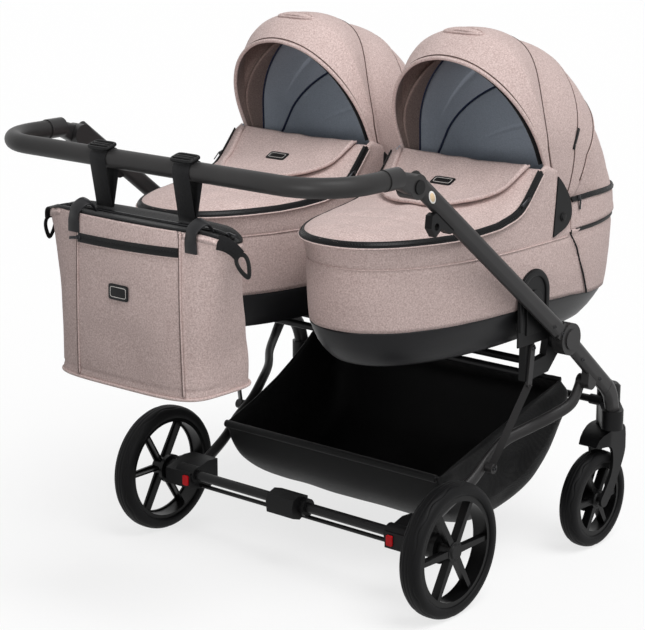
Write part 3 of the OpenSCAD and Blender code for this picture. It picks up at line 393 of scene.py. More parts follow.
screw_tree, given = grouped_tree("screw_heads", [("Head radius", "NodeSocketFloat"),
                                                 ("Head height", "NodeSocketFloat"),
                                                 ("Finish", "NodeSocketMaterial")])
socket_r = add_node(screw_tree, "ShaderNodeMath", {0: given["Head radius"], 1: 0.8}, operation="MULTIPLY")
head = add_node(screw_tree, "GeometryNodeMeshCone", {
    "Vertices": 18, "Radius Top": socket_r.outputs[0], "Radius Bottom": given["Head radius"],
    "Depth": given["Head height"]})
lip = add_node(screw_tree, "GeometryNodeExtrudeMesh", {
    "Mesh": head.outputs["Mesh"], "Selection": head.outputs["Top"], "Offset Scale": 0.0, "Individual": False})
hole = add_node(screw_tree, "GeometryNodeScaleElements", {
    "Geometry": lip.outputs["Mesh"], "Selection": lip.outputs["Top"], "Scale": 0.6})
sink_by = add_node(screw_tree, "ShaderNodeMath", {0: given["Head height"], 1: -0.7}, operation="MULTIPLY")
sunk = add_node(screw_tree, "GeometryNodeExtrudeMesh", {
    "Mesh": hole.outputs[0], "Selection": lip.outputs["Top"], "Offset Scale": sink_by.outputs[0],
    "Individual": False})
facing = add_node(screw_tree, "GeometryNodeInputNamedAttribute", {"Name": "out"}, data_type="FLOAT_VECTOR")
turned = add_node(screw_tree, "FunctionNodeAlignRotationToVector", {"Vector": facing.outputs[0]}, axis="Z")
set_on_points(screw_tree, given["Geometry"], sunk.outputs["Mesh"], turned, given["Finish"])


def run_tree(name, tree, lines, **sizes):
    """Runs a tree of nodes on lines of (route, outs) and gives the result as a plain mesh."""
    routes = [np.atleast_2d(np.asarray(route, float)) for route, outs in lines]
    facings = [np.broadcast_to(np.asarray(line[1], float), route.shape) for line, route in zip(lines, routes)]
    edges = []
    start = 0
    for route in routes:
        edges += [(k, k + 1) for k in range(start, start + len(route) - 1)]
        start += len(route)
    mesh = bpy.data.meshes.new(name)
    mesh.from_pydata(np.vstack(routes).tolist(), edges, [])
    out = mesh.attributes.new("out", "FLOAT_VECTOR", "POINT")
    out.data.foreach_set("vector", unit(np.vstack(facings)).astype(np.float32).ravel())
    seed = bpy.data.objects.new(name, mesh)
    scene.collection.objects.link(seed)
    modifier = seed.modifiers.new(name, "NODES")
    modifier.node_group = tree
    for item in tree.interface.items_tree:
        label = item.name.replace(" ", "_").lower()
        if item.in_out == "INPUT" and label in sizes:
            modifier[item.identifier] = sizes[label]
    bpy.context.view_layer.update()
    result = bpy.data.meshes.new_from_object(seed.evaluated_get(bpy.context.evaluated_depsgraph_get()))
    seed.modifiers.clear()
    bpy.data.objects.remove(seed)
    bpy.data.meshes.remove(mesh)
    return result


# Black-oxide steel, a little glossier than the coat round it.
screw_steel = moulded("black_oxide_steel", "#2b2b2c", "#3a3a3c", 1.2, 0.02, 0.28, Metallic=0.9)
push_screws = [(268, 543), (297, 523)]
lower_screws = [(373, 453), (439, 398)]
tube_face = 444.3
rivet_spots = [(410.6, 244, 499), (353.2, 200, 244)]
for body, spots in (("push_frame", push_screws), ("chassis", lower_screws)):
    heads = [(from_axle((side * tube_face, y, z)), (side, 0, 0)) for y, z in spots for side in (1, -1)]
    mesh = run_tree("screws", screw_tree, heads, head_radius=0.0042, head_height=0.002, finish=screw_steel)
    fit("tube_screws_" + body, mesh, body, None, "black_paint")
rivets = [(from_axle((side * x, y, z)), (side, 0, 0)) for side in (1, -1) for x, y, z in rivet_spots]
mesh = run_tree("rivets", screw_tree, rivets, head_radius=0.0055, head_height=0.003, finish=screw_steel)
fit("strut_rivets", mesh, "rear_legs", None, "black_paint")


# Oval plates, bare, at the top of each push tube: a pale enamelled rim round a cream face.
# Each is a small pressing, glued along the slope of the tube's outer side.

pale_plate = moulded("pale_enamel", "#e9e6e1", "#f3f0ec", 1.2, 0.02, 0.35)
cream_plate = moulded("cream_enamel", "#e3c79f", "#ecd3ae", 1.2, 0.02, 0.35)
plate_y, plate_z, plate_half_long, plate_half_high = -138, 865, 13.5, 8.5
# Each layer: name, finish, size, and the height out and share of the outline of each ring.
plate_layers = [
    ("rim", pale_plate, 1.0, [(443.6, 1.0), (444.5, 1.0), (444.8, 0.95), (444.8, 0.02)]),
    ("face", cream_plate, 0.72, [(444.6, 1.0), (445.0, 0.97), (445.1, 0.02)])]
lean = unit((0, 16, -25))
flat = np.cross(lean, (1, 0, 0))
turn = full_turn(40)
for tag, side in sides.items():
    for name, finish, size, levels in plate_layers:
        rows = []
        for x, share in levels:
            edge = (np.outer(plate_half_long * size * share * np.cos(turn), lean)
                    + np.outer(plate_half_high * size * share * np.sin(turn), flat))
            rows.append(from_axle((edge + (x, plate_y, plate_z)) * (side, 1, 1)))
        fit(f"oval_plate_{name}_{tag}", skin("oval_plate", rows, around=True, caps=True), "push_frame",
            finish, "grey_plastic")


# Basket: black polyester slung between the legs and the nose tube, sewn from a floor panel and walls.
# A rolled hem stiffens the back edge, and elastic gathers the front one.

def woven(name, dark, light, thread_mm, roughness, sheen):
    """Plain-weave cloth: over-and-under threads of a given spacing, with slubs of two tones."""
    finish = bpy.data.materials.new(name)
    tree = empty_tree(finish)
    place = add_node(tree, "ShaderNodeTexCoord").outputs["Object"]
    # A wave of scale 1 repeats every 314 mm.
    warp, weft = [add_node(tree, "ShaderNodeTexWave", {
        "Vector": place, "Scale": 314 / thread_mm, "Distortion": 1.5, "Detail": 1.0, "Detail Scale": 4.0},
        bands_direction=way) for way in "XZ"]
    threads = add_node(tree, "ShaderNodeMath", {0: warp.outputs["Fac"], 1: weft.outputs["Fac"]},
                       operation="MAXIMUM")
    slub = add_node(tree, "ShaderNodeTexNoise", {
        "Vector": place, "Scale": 1000 / (thread_mm * 2.4), "Detail": 3.0, "Roughness": 0.65})
    tone_at = add_node(tree, "ShaderNodeMapRange", {0: slub.outputs["Fac"], 1: 0.32, 2: 0.68})
    tone = add_node(tree, "ShaderNodeMix", {0: tone_at.outputs[0], 6: linear(dark), 7: linear(light)},
                    data_type="RGBA")
    height = add_node(tree, "ShaderNodeMath", {0: threads.outputs[0], 1: slub.outputs["Fac"]},
                      operation="ADD")
    relief = add_node(tree, "ShaderNodeBump", {
        "Height": height.outputs[0], "Distance": thread_mm / 4000, "Strength": 0.5})
    shader = add_node(tree, "ShaderNodeBsdfPrincipled", {
        "Base Color": tone.outputs[2], "Roughness": roughness, "Normal": relief.outputs[0],
        "Sheen Weight": sheen, "Sheen Roughness": 0.5, "Specular IOR Level": 0.12})
    add_node(tree, "ShaderNodeOutputMaterial", {"Surface": shader.outputs[0]})
    return finish


def trim(name, route, outs, section, body, finish, slot, looped=False):
    """Cord, tape or strap: a section swept along a route and fitted as a piece."""
    return fit(name, swept(name, route, outs, section, looped), body, finish, slot)


def thicken(piece, thickness, offset=-1):
    """Gives a sheet its thickness: an offset of -1 grows it inwards, 0 to both sides."""
    wall = piece.modifiers.new("cloth", "SOLIDIFY")
    wall.thickness = thickness
    wall.offset = offset
    return wall


# Black polyester: smooth filament yarn, so it shines a little along its folds.
basket_polyester = woven("black_polyester", "#050506", "#0c0c0d", 1.4, 0.5, 0.05)
basket_side = [(92, 236), (112, 160), (190, 104), (290, 92), (400, 112), (480, 165), (515, 235), (532.6, 316),
               (452, 374)]
profile = smooth_route(basket_side, 9)
down = np.linspace(0, 1, len(profile))
lip = np.array(basket_side[0]) + np.outer(down, np.subtract(basket_side[-1], basket_side[0]))
half_wide = 292 + 50 * down ** 2
wall_rows = 10
across = np.sin(np.linspace(-1, 1, 81) * math.pi / 2)
depths = [max(0.0, 1 - 0.95 * abs(u) ** 8) ** (1 / 8) for u in across]
wall_depths = list(np.linspace(0.03, depths[0], wall_rows, endpoint=False))
across = np.concatenate([np.full(wall_rows, -1.0), across, np.full(wall_rows, 1.0)])
rows = []
for u, deep in zip(across, wall_depths + depths + wall_depths[::-1]):
    line = lip + (profile - lip) * deep
    points = np.column_stack([u * half_wide, line])
    gather = np.clip((down - 0.84) / 0.16, 0, 1) * (1 - abs(u) ** 6)
    points[:, 1] -= gather * (3.0 + 3.0 * math.sin(u * 78))
    for k, point in enumerate(points):
        slack = noise.noise(Vector(point) / 90) * 5 * min(1, 4 * down[k] * (1 - down[k])) * (1 - abs(u) ** 4)
        points[k, 2] += max(slack, -2.0)
        pull = math.sin(3.1 * down[k] * math.pi) * noise.noise(Vector((point[1] / 70, point[2] / 35, u * 9)))
        points[k, 0] -= u * abs(u) ** 6 * (4 + 5 * pull) * min(1, 6 * deep)
    rows.append(from_axle(points))
basket_mesh = skin("basket_cloth", rows, outwards=False)
basket = fit("basket_cloth", basket_mesh, "chassis", basket_polyester, "basket_cloth", "basket")
thicken(basket, 0.0025, 0)
for name, end, section in (("basket_hem", 0, oval(0.016, 0.016, 16)),
                           ("basket_elastic", -1, oval(0.009, 0.012, 12))):
    route = np.array([row[end] for row in rows[wall_rows:-wall_rows]])
    trim(name, route, (0, 0, 1), section, "chassis", basket_polyester, "basket_cloth")


# Grip: a foam sleeve over the bent bar, covered in a soft grained leatherette sewn on the inside.
# The sleeve ends at the two moulded handle arms.

# Leatherette: embossed pebbles about 1.5 mm across, drawn at 2 mm, with a soft dull shine.
grip_leatherette = moulded("grip_leatherette", "#252424", "#302f2f", 2.0, 0.25, 0.46, 0.22)
corner_x, bar_y, bar_z, end_y, bend = 436.0, -415.0, 912.0, -268.0, 110.0
turns = np.linspace(0, math.pi / 2, 25)
right = [(corner_x, y) for y in np.linspace(end_y, bar_y + bend, 10, endpoint=False)]
right += [(corner_x - bend + bend * math.cos(t), bar_y + bend - bend * math.sin(t)) for t in turns]
left = [(-x, y) for x, y in reversed(right)]
bar = [(x, bar_y) for x in np.linspace(corner_x - bend, bend - corner_x, 60)][1:-1]
grip_route = from_axle([(x, y, bar_z) for x, y in right + bar + left])
grip_mesh = swept("grip", grip_route, (0, 0, 1), oval(0.037, 0.037, 36))
grip = fit("grip_sleeve", grip_mesh, "handle", grip_leatherette, "grip_cover", "grip")


# Cots, first the tubs: dark grey polypropylene trays, moulded in one piece with a dipping rim.
# On each side an arched nylon plate with a lever and a ridge drops over the chassis posts.

cot_middles = {"r": 220.5, "l": -220.5}
half_w, foot, head_end = 186.0, -172.0, 646.0
head_square, foot_square = 3.2, 2.3
rim_z, post_y = 583, 240


def squared(wave, power):
    """Sines or cosines drawn out towards the sides of a square."""
    return np.sign(wave) * np.abs(wave) ** power


def cot_outline(half, foot_y, head_y, count=160):
    """A cot's outline from above, a soft rectangle with a rounder foot, in mm from the cot's middle."""
    turn = (np.arange(count) + 0.5) * 2 * math.pi / count
    c, s = np.cos(turn), np.sin(turn)
    bend = 2 / np.where(s < 0, foot_square, head_square)
    return np.stack([half * squared(c, bend),
                     (foot_y + head_y) / 2 + (head_y - foot_y) / 2 * squared(s, bend)], 1)


def in_cot(points, tag):
    """Points in mm from a cot's middle line as metres in the part's frame."""
    return from_axle(np.asarray(points, float) + (cot_middles[tag], 0, 0))


def band(wide, thick):
    """Section of a flat tape with rounded edges, in metres."""
    w, t = wide / 2, thick / 2
    return np.array([(-w, -t * 0.4), (-w + t, -t), (w - t, -t), (w, -t * 0.4), (w, t * 0.4), (w - t, t),
                     (-w + t, t), (-w, t * 0.4)])


def tub_edge(y):
    """Height of the tub's rim at a place along the pram: level, then dipping towards the head, in mm."""
    return np.interp(y, [-400, 312, 387, 473, 560, 700], [583, 583, 578.5, 570, 565, 563])


def flat_plate(name, corners, push):
    """Plate with a flat outline of corners, thickened by a push, in metres."""
    work = bmesh.new()
    plate = work.faces.new([work.verts.new(corner) for corner in corners])
    grown = bmesh.ops.extrude_face_region(work, geom=[plate])
    moved = [item for item in grown["geom"] if isinstance(item, bmesh.types.BMVert)]
    bmesh.ops.translate(work, verts=moved, vec=push)
    bmesh.ops.recalc_face_normals(work, faces=work.faces)
    mesh = bpy.data.meshes.new(name)
    work.to_mesh(mesh)
    work.free()
    return mesh


def arch_plate(tag, out, x, half, low, spring, thick):
    """Round-topped plate on a cot's side at x: from a low edge up to its spring, then a half circle."""
    arch = [(post_y - half, low), (post_y + half, low)]
    arch += [(post_y + half * math.cos(t), spring + half * math.sin(t)) for t in np.linspace(0, math.pi, 40)]
    corners = [in_cot((out * x, y, z), tag) for y, z in arch]
    return flat_plate("arch_plate", corners, (out * thick / 1000, 0, 0))


def soften(piece, width):
    """Rounds the edges of a moulding."""
    soft = piece.modifiers.new("edge", "BEVEL")
    soft.width = width
    soft.segments = 2


# Polypropylene: smooth moulding with a low waxy shine.
tub_plastic = moulded("grey_polypropylene", "#161618", "#1e1e20", 2.0, 0.08, 0.4, 0.18)
# Half width, foot, head and height of each ring, in mm.
tub_rings = [(134, -84, 548, 505), (141, -97, 568, 506), (148, -104, 582, 511), (158, -120, 602, 526),
             (166, -134, 614, 544), (174, -143, 621, 563), (180, -149, 625, 578), (181, -150, 626, 583),
             (178, -147, 623, 584)]
arch_spring, ridge_x, ridge_half, ridge_low = 609, 192.6, 44, 540
turn = np.linspace(0, math.pi, 40)
bow = np.column_stack([np.full(40, ridge_x), post_y + ridge_half * np.cos(turn),
                       arch_spring + ridge_half * np.sin(turn)])
ridge = np.vstack([[(ridge_x, post_y + ridge_half, ridge_low)], bow,
                   [(ridge_x, post_y - ridge_half, ridge_low)]])
for tag in sides:
    rows = []
    for half, foot_y, head_y, z in tub_rings:
        ring = cot_outline(half, foot_y, head_y)
        dip = (rim_z - tub_edge(ring[:, 1])) * np.clip((z - 530) / 53, 0, 1)
        rows.append(in_cot(np.column_stack([ring, z - dip]), tag))
    mesh = skin("cot_tub", rows, around=True, caps=True)
    fit("cot_tub_shell_" + tag, mesh, "cot_" + tag, tub_plastic, "tub_plastic", "cot_tub_" + tag)
    for where, out in (("out", 1), ("in", -1)):
        plates = [arch_plate(tag, out, 187.6, 52, 509, arch_spring, 4),
                  arch_plate(tag, out, 191.6, 27, 530, 592, 3),
                  swept("arch_ridge", in_cot(ridge * (out, 1, 1), tag), (out, 0, 0), band(0.013, 0.005))]
        piece = fit(f"adaptor_arch_{where}_{tag}", joined("adaptor_arch", *plates), "cot_" + tag,
                    black_nylon, "black_plastic")
        soften(piece, 0.0012)


# Cot bodies: padded walls of melange cloth sewn to the tub's rim, with a band seam round them.
# A black zip runs along the top edge and up the shoulders, where the apron fastens.

# Melange canvas: dyed and undyed fibres spun together, so it is speckled in flecks of two tones.
# The fibres' flecks are about 1 mm long and drawn at 2 to 4 mm to show.
melange = woven("melange_canvas", "#b39b96", "#ddcac6", 1.2, 0.85, 0.1)
# Lining: plain blue-grey cotton weave, lighter than its own colour: painted light for the dim insides.
painted_light_lining = woven("lining_cotton", "#a4adb9", "#bac2ce", 1.0, 0.8, 0.1)
# Zip tape: black woven tape with a coil of nylon teeth.
zip_tape = woven("black_zip_tape", "#0c0c0d", "#19191a", 1.0, 0.6, 0.1)
zip_nylon = moulded("zip_nylon", "#101011", "#1c1c1e", 1.0, 0.02, 0.3)

row_tree, given = grouped_tree("row_along_line", [("Spacing", "NodeSocketFloat"),
                                                  ("Size", "NodeSocketVector"),
                                                  ("Finish", "NodeSocketMaterial")])
line = add_node(row_tree, "GeometryNodeMeshToCurve", {"Mesh": given["Geometry"]})
marks = add_node(row_tree, "GeometryNodeCurveToPoints", {
    "Curve": line.outputs[0], "Length": given["Spacing"]}, mode="LENGTH")
block = add_node(row_tree, "GeometryNodeMeshCube", {"Size": given["Size"]})
along_line = add_node(row_tree, "FunctionNodeAlignRotationToVector", {
    "Vector": marks.outputs["Tangent"]}, axis="X")
facing = add_node(row_tree, "GeometryNodeInputNamedAttribute", {"Name": "out"}, data_type="FLOAT_VECTOR")
turned = add_node(row_tree, "FunctionNodeAlignRotationToVector", {
    "Rotation": along_line.outputs[0], "Vector": facing.outputs[0]}, axis="Z", pivot_axis="X")
set_on_points(row_tree, marks.outputs["Points"], block.outputs["Mesh"], turned, given["Finish"])
pull_size = 1.2


def zip_pull(place, ahead, out):
    """Zip slider with a hanging tab: a tapered body and a tab along ahead, standing off along out."""
    place, ahead, out = np.asarray(place, float), unit(ahead), unit(out)
    across = np.cross(ahead, out)
    rings = []
    for step, wide, high in ((-5, 2, 1.2), (-4, 3.4, 2.2), (0, 4.4, 2.8), (3.5, 3.6, 2.6), (5, 2.2, 1.6)):
        centre = place + (ahead * step + out * 2.2) * pull_size / 1000
        rings.append([centre + (across * wide * math.cos(t) + out * high * math.sin(t)) * pull_size / 1000
                      for t in full_turn(14)])
    tab = np.outer([1, 4, 9, 16, 20], ahead) + np.outer([4.6, 5.2, 4.6, 3.6, 3.4], out)
    return joined("zip_pull", skin("slider", rings, around=True, caps=True),
                  swept("tab", place + tab * pull_size / 1000, out,
                        band(0.0048 * pull_size, 0.0014 * pull_size)))


# Zinc sliders with a black electroplated finish.
black_zinc = moulded("black_plated_zinc", "#232324", "#343437", 1.2, 0.02, 0.25, Metallic=0.85)


def wall_size(z):
    """Half width, foot and head of a cot's wall at a height, in mm."""
    heights = [583, 649, 707, 755]
    return (np.interp(z, heights, [181, 184.5, 186, 186]), np.interp(z, heights, [-150, -152, -155, -170]),
            np.interp(z, heights, [626, 636, 643, 646]))


def shoulder_top(y):
    """Height of the wall's top edge at a place along the pram, in mm."""
    return np.interp(y, [-400, 10, 65, 126, 172, 193, 210, 222, 245, 266, 276, 287, 317, 323, 328, 700],
                     [757, 757, 759, 764, 775, 784, 798, 811, 836, 861, 862, 859, 846, 838, 757, 755])


def rim_at(y, wider):
    """Half width of a cot's rim at a place along the pram, in mm, made wider by a given amount."""
    share = abs(y - (foot + head_end) / 2) / ((head_end - foot) / 2)
    square = foot_square if y < (foot + head_end) / 2 else head_square
    return wider + half_w * max(0.0, 1 - share ** square) ** (1 / square)


def pocket_line(z):
    """Place along the pram of the side pocket's edge at a height, in mm."""
    return np.interp(z, [578, 614, 646, 678, 713], [448, 429, 410, 395, 368])


seam_z, top_z, wall_columns, band_start = 707, 755, 400, 366
# Height and stand-off of each row of the head band, in mm.
band_levels = [(719, 2.5), (718, 5.5), (721, 7.5), (728, 7.0), (745, 5.5), (762, 4.5), (772, 3.5),
               (776, 2.5)]
for tag in sides:
    body = "cot_" + tag
    rim_ring = cot_outline(*wall_size(top_z), wall_columns)
    tops = shoulder_top(rim_ring[:, 1])
    tops = np.where((np.abs(rim_ring[:, 0]) > 120) | (rim_ring[:, 1] < 0), tops, top_z)
    rows = []
    for step in np.concatenate([np.linspace(0, 1, 17), np.linspace(1, 2, 17)[1:]]):
        points = []
        for k in range(wall_columns):
            if step <= 1:
                z = rim_z + (seam_z - rim_z) * step
                full = 2.5 * math.sin(math.pi * step)
            else:
                z = seam_z + (tops[k] - seam_z) * (step - 1)
                full = 0.6 * math.sin(math.pi * (step - 1))
            half, foot_y, head_y = wall_size(z)
            turn = (k + 0.5) * 2 * math.pi / wall_columns
            c, s = math.cos(turn), math.sin(turn)
            bend = 2 / (foot_square if s < 0 else head_square)
            x = half * squared(c, bend)
            y = (foot_y + head_y) / 2 + (head_y - foot_y) / 2 * squared(s, bend)
            z -= (rim_z - tub_edge(y)) * max(0, 1 - step)
            full += 1.2 * noise.noise(Vector((x / 60, y / 60, z / 45))) * (1 if step < 1 else 0.3)
            full -= 2.2 * math.exp(-((z - 705) / 2.6) ** 2)
            beyond = y - pocket_line(z)
            full += 4.0 * np.clip(beyond / 3 + 0.5, 0, 1) * np.clip((722 - z) / 5, 0, 1)
            outward = unit((c, s))
            points.append((x + outward[0] * full, y + outward[1] * full, z))
        rows.append(in_cot(points, tag))
    mesh = skin("cot_wall", rows, around=True, outwards=False)
    piece = fit("cot_wall_" + tag, mesh, body, melange, "melange_cloth", "cot_body_" + tag)
    mesh.materials.append(painted_light_lining)
    wall = thicken(piece, 0.005)
    wall.material_offset = 1

    top_row = rows[-1]
    near_foot = [k for k in range(wall_columns) if top_row[k][1] < axle_y + 0.268]
    start = next(k for k in near_foot if (k - 1) % wall_columns not in near_foot)
    order = [(start + k) % wall_columns for k in range(len(near_foot))]
    zip_route = np.array([top_row[k] for k in order])
    middle = np.column_stack([np.zeros(len(order)), rim_ring[order, 1] * 0.6 + 95,
                              np.full(len(order), top_z)])
    outward = unit((zip_route - in_cot(middle, tag)) * (1, 1, 0))
    outs = unit(outward * 0.75 + (0, 0, 0.66))
    zip_route = zip_route + outward * 0.0008
    trim("rim_zip_" + tag, zip_route, outs, band(0.015, 0.003), body, zip_tape, "webbing")
    below = unit(np.cross(np.gradient(zip_route, axis=0), outs))
    below *= np.sign((below * outward).sum(1, keepdims=True) - 0.3 * below[:, 2:] + 1e-6)
    trim("rim_piping_" + tag, zip_route + below * 0.0085, outs, oval(0.0035, 0.0035, 8), body, melange,
         "melange_cloth")

    route = cot_outline(half_w + 0.5, foot, head_end, 360)
    route = route[route[:, 1] > band_start]
    outward = unit(np.gradient(route, axis=0)[:, ::-1] * (1, -1))
    from_start = np.arange(len(route))
    fade = np.clip(np.minimum(from_start, from_start[::-1]) / 12, 0, 1)
    low_rise = 4 * np.clip((route[:, 1] - band_start) / 280, 0, 1)
    top_drop = 9 * np.clip((route[:, 1] - 450) / 196, 0, 1)
    rows = []
    for z, out in band_levels:
        place = route + outward * (out * (0.35 + 0.65 * fade[:, None]))
        rows.append(in_cot(np.column_stack([place, z + low_rise if z < 730 else z - top_drop]), tag))
    mesh = skin("head_band", rows, outwards=False)
    piece = fit("head_band_" + tag, mesh, body, melange, "melange_cloth")
    thicken(piece, 0.003)
    head_line = rows[-1] + (0, 0, 0.004)
    level_outs = np.column_stack([outward, np.zeros(len(outward))])
    head_outs = level_outs + (0, 0, 0.5)
    trim("head_zip_" + tag, head_line, head_outs, band(0.011, 0.003), body, zip_tape, "webbing")
    trim("pocket_zip_" + tag, rows[0] + (0, 0, -0.0055) + level_outs * 0.001, level_outs,
         band(0.009, 0.003), body, zip_tape, "webbing")
    mesh = run_tree("zip_teeth", row_tree, [(zip_route + outs * 0.002, outs),
                                            (head_line + unit(head_outs) * 0.0018, head_outs)],
                    spacing=0.0028, size=(0.0017, 0.0055, 0.0018), finish=zip_nylon)
    fit("cot_zip_teeth_" + tag, mesh, body, None, "black_plastic")
    pulls = [zip_pull(head_line[3], (0, 0.15, -1), (1, 0, 0.1)),
             zip_pull(head_line[-4], (0, 0.15, -1), (-1, 0, 0.1)),
             zip_pull(zip_route[3] + outs[3] * 0.001, zip_route[9] - zip_route[3], outs[3]),
             zip_pull(zip_route[-4] + outs[-4] * 0.001, zip_route[-10] - zip_route[-4], outs[-4])]
    fit("cot_zip_pulls_" + tag, joined("cot_zip_pulls", *pulls), body, black_zinc, "black_plastic")

    # The pocket's edge: a black cord a little ahead of the raised step, painted shade of the gap where the
    # pocket stands off.
    high = np.linspace(572, 714, 24)
    full = 2.6 + 2.6 * np.sin(math.pi * np.clip((high - rim_z) / (seam_z - rim_z), 0, 1))
    full += np.clip((high - 660) / 25, 0, 1.4)
    edges = []
    for side in (1, -1):
        edge = [(side * (rim_at(y, -1) + out - (top_z - z) * 0.012), y - 2, z)
                for y, z, out in zip(pocket_line(high) + 1, high, full)]
        edges.append(swept("pocket_edge", in_cot(edge, tag), (side, 0, 0), oval(0.0036, 0.0036, 8)))
    fit("pocket_edge_" + tag, joined("pocket_edge", *edges), body, zip_tape, "webbing")
    seam_ring = cot_outline(*wall_size(705), 240)
    seam_ring = seam_ring + unit(seam_ring - (0, (foot + head_end) / 2)) * 0.4
    open_part = seam_ring[:, 1] < 372
    start = int(np.argmax(open_part & ~np.roll(open_part, 1)))
    seam = np.roll(seam_ring, -start, 0)[:int(open_part.sum())]
    seam = in_cot(np.column_stack([seam, np.full(len(seam), 706.0)]), tag)
    trim("band_piping_" + tag, seam, (0, 0, 1), oval(0.0028, 0.0028, 8), body, melange, "melange_cloth")


# Aprons: a domed cover of the same melange over each cot's foot, zipped to the rim, with a wind flap.
# The flap is a second layer with a padded lower edge, and a bare black patch is sewn to its middle.

def apron_height(u, y):
    """Height of the apron at a share of its half width and a place along the pram, in mm."""
    around = y + np.array([-24, -12, 0, 12, 24]) * min(1, (y - foot) / 60)
    rise = np.interp(around, [-172, -132, -60, 80, 140, 190, 261], [3, 16, 26, 33, 42, 57, 100]).mean()
    edge = shoulder_top(y) - 756
    return 757.4 + edge + (rise - edge) * max(0.0, 1 - u * u) ** 0.6


def patch(name, place, across, up, wide, high):
    """Sewn patch: a thin rounded plate centred on a place, and the frame line on it."""
    across, up = unit(across), unit(up)
    out = np.cross(across, up)
    turn = full_turn(48)
    edge = np.stack([squared(np.cos(turn), 0.25), squared(np.sin(turn), 0.25)], 1)
    size = np.array((wide, high)) / 2
    plane = np.stack([across, up])
    plate = [place + (edge * size * share) @ plane + out * rise
             for share, rise in ((1.0, -0.0006), (1.0, 0.0006), (0.97, 0.0009), (0.02, 0.0009))]
    line = place + (edge * (size - 0.0055)) @ plane + out * 0.0011
    return (skin(name, plate, around=True, caps=True),
            swept(name + "_line", line, out, band(0.0011, 0.0006), looped=True))


# Rubber patch with a moulded light line.
patch_rubber = moulded("black_patch_rubber", "#0c0c0d", "#151516", 1.2, 0.05, 0.5)
line_rubber = moulded("pale_line_rubber", "#c9c5c1", "#dcd8d4", 1.2, 0.02, 0.55)

apron_start, apron_end, apron_inset = foot + 3, 261, -3.5
# Each crease: place along the pram, slant, depth and width.
apron_creases = [(-30, 0.22, 2.6, 8), (36, 0.1, 2.2, 7), (-92, -0.16, 1.8, 7)]
flap_half, flap_low, flap_side, flap_end, patch_y = 0.86, 76, 250, 263, 188
for tag in sides:
    body = "cot_" + tag
    rows = []
    for v in np.linspace(0, 1, 70):
        y = apron_start + (apron_end - apron_start) * v ** 1.6
        points = []
        for u in np.sin(np.linspace(-1, 1, 61) * math.pi / 2):
            x = u * max(rim_at(y, apron_inset), 9)
            slack = 5 * noise.noise(Vector((x / 55, y / 85, 3.1)))
            slack += 2.5 * noise.noise(Vector((x / 24, y / 30, 9.7)))
            for start, slant, deep, wide in apron_creases:
                slack -= deep * math.exp(-((y - start - slant * x) / wide) ** 2)
            points.append((x, y, apron_height(u, y) + (1 - u * u) * min(1, 6 * v) * slack))
        rows.append(in_cot(points, tag))
    mesh = skin("apron", rows, outwards=False)
    piece = fit("apron_cover_" + tag, mesh, body, melange, "melange_cloth", "apron_" + tag)
    thicken(piece, 0.003)

    rows = []
    for u in np.linspace(-flap_half, flap_half, 61):
        aside = abs(u / flap_half)
        low_y = flap_low + (flap_side - flap_low) * aside ** 3.0
        line = []
        for w in np.linspace(0, 1, 26):
            y = low_y + (flap_end - low_y) * w
            x = u * rim_at(y, apron_inset)
            roll = 3.5 * math.exp(-(w * (flap_end - low_y) / 9) ** 2) + 7 * aside ** 2 * (1 - w)
            level = 1 - math.exp(-((x / 38) ** 4 + ((y - patch_y) / 26) ** 4))
            slack = 3 * (1 - u * u) * level * noise.noise(Vector((x / 40, y / 40, 5.5)))
            line.append((x, y, apron_height(u, y) + 5 + roll + slack))
        rows.append(in_cot(line, tag))
    mesh = skin("wind_flap", rows[::-1], outwards=False)
    piece = fit("wind_flap_" + tag, mesh, body, melange, "melange_cloth")
    thicken(piece, 0.004)
    slope = (apron_height(0, patch_y + 12) - apron_height(0, patch_y - 12)) / 24
    plate, line = patch("flap_patch", in_cot((0, patch_y, apron_height(0, patch_y) + 6.4), tag), (1, 0, 0),
                        (0, 1, slope), 0.051, 0.026)
    fit("flap_patch_" + tag, plate, body, patch_rubber, "black_plastic")
    fit("flap_patch_line_" + tag, line, body, line_rubber, "grey_plastic")
    low_edge = [row[0] for row in rows]
    trim("flap_roll_" + tag, low_edge, (0, 0, 1), oval(0.010, 0.009, 12), body, melange, "melange_cloth")


# Hoods: three bowed panels of melange, each stepping inside the one before, on hidden spring bows.
# The back panel is sewn to the cot, and the other two turn on the pins of the side fins.

pivot = (337.0, 750.0)
hood_pin = {tag: in_cot((0, *pivot), tag) for tag in sides}
wing_low, wing_top, wing_steps = 46, 150, 6
flare, flare_from, flare_over = 22, 72, 16.5
# Each panel: body, half width, rows of (turn in degrees, crown radius, fullness) and turns of seams.
hood_panels = {
    "hood_front": ("hood_front_", 179.0,
                   [(116, 352, 2.0), (112, 362, 2.1), (108, 370, 2.3), (103, 375, 2.4), (97, 371, 2.25),
                    (91, 362, 2.05), (87, 354, 1.95), (85.5, 349, 1.92)], ()),
    "hood_mid": ("hood_mid_", 174.4,
                 [(88.5, 346, 1.93), (87.75, 343, 1.92), (86.5, 340.5, 1.91), (84, 340, 1.9),
                  (76, 343, 1.88), (70, 342, 1.86), (67.5, 340, 1.85), (66, 333, 1.82), (62, 335, 1.8),
                  (56, 331, 1.8), (50, 322, 1.85), (48, 319, 1.88), (46.5, 315, 1.9)], ()),
    "hood_back": ("cot_", 169.8,
                  [(56, 299, 1.82), (49, 303, 1.82), (40, 305, 1.85), (30, 305, 1.9), (15, 306, 2.0),
                   (1, 306, 2.4)], (27.0,)),
}


def arch_reach(x, half, crown, full):
    """Radius of a hood panel's arch at a place across it, in mm."""
    return wing_top + (crown - wing_top) * np.maximum(0, 1 - np.abs(x / half) ** full) ** (1 / full)


def panel_shape(name, turn):
    """Half width, crown radius and fullness of a hood panel at a turn about the pivot."""
    half, table = hood_panels[name][1:3]
    turns, crowns, fulls = (np.array(column)[::-1] for column in zip(*table))
    return half, np.interp(turn, turns, crowns), np.interp(turn, turns, fulls)


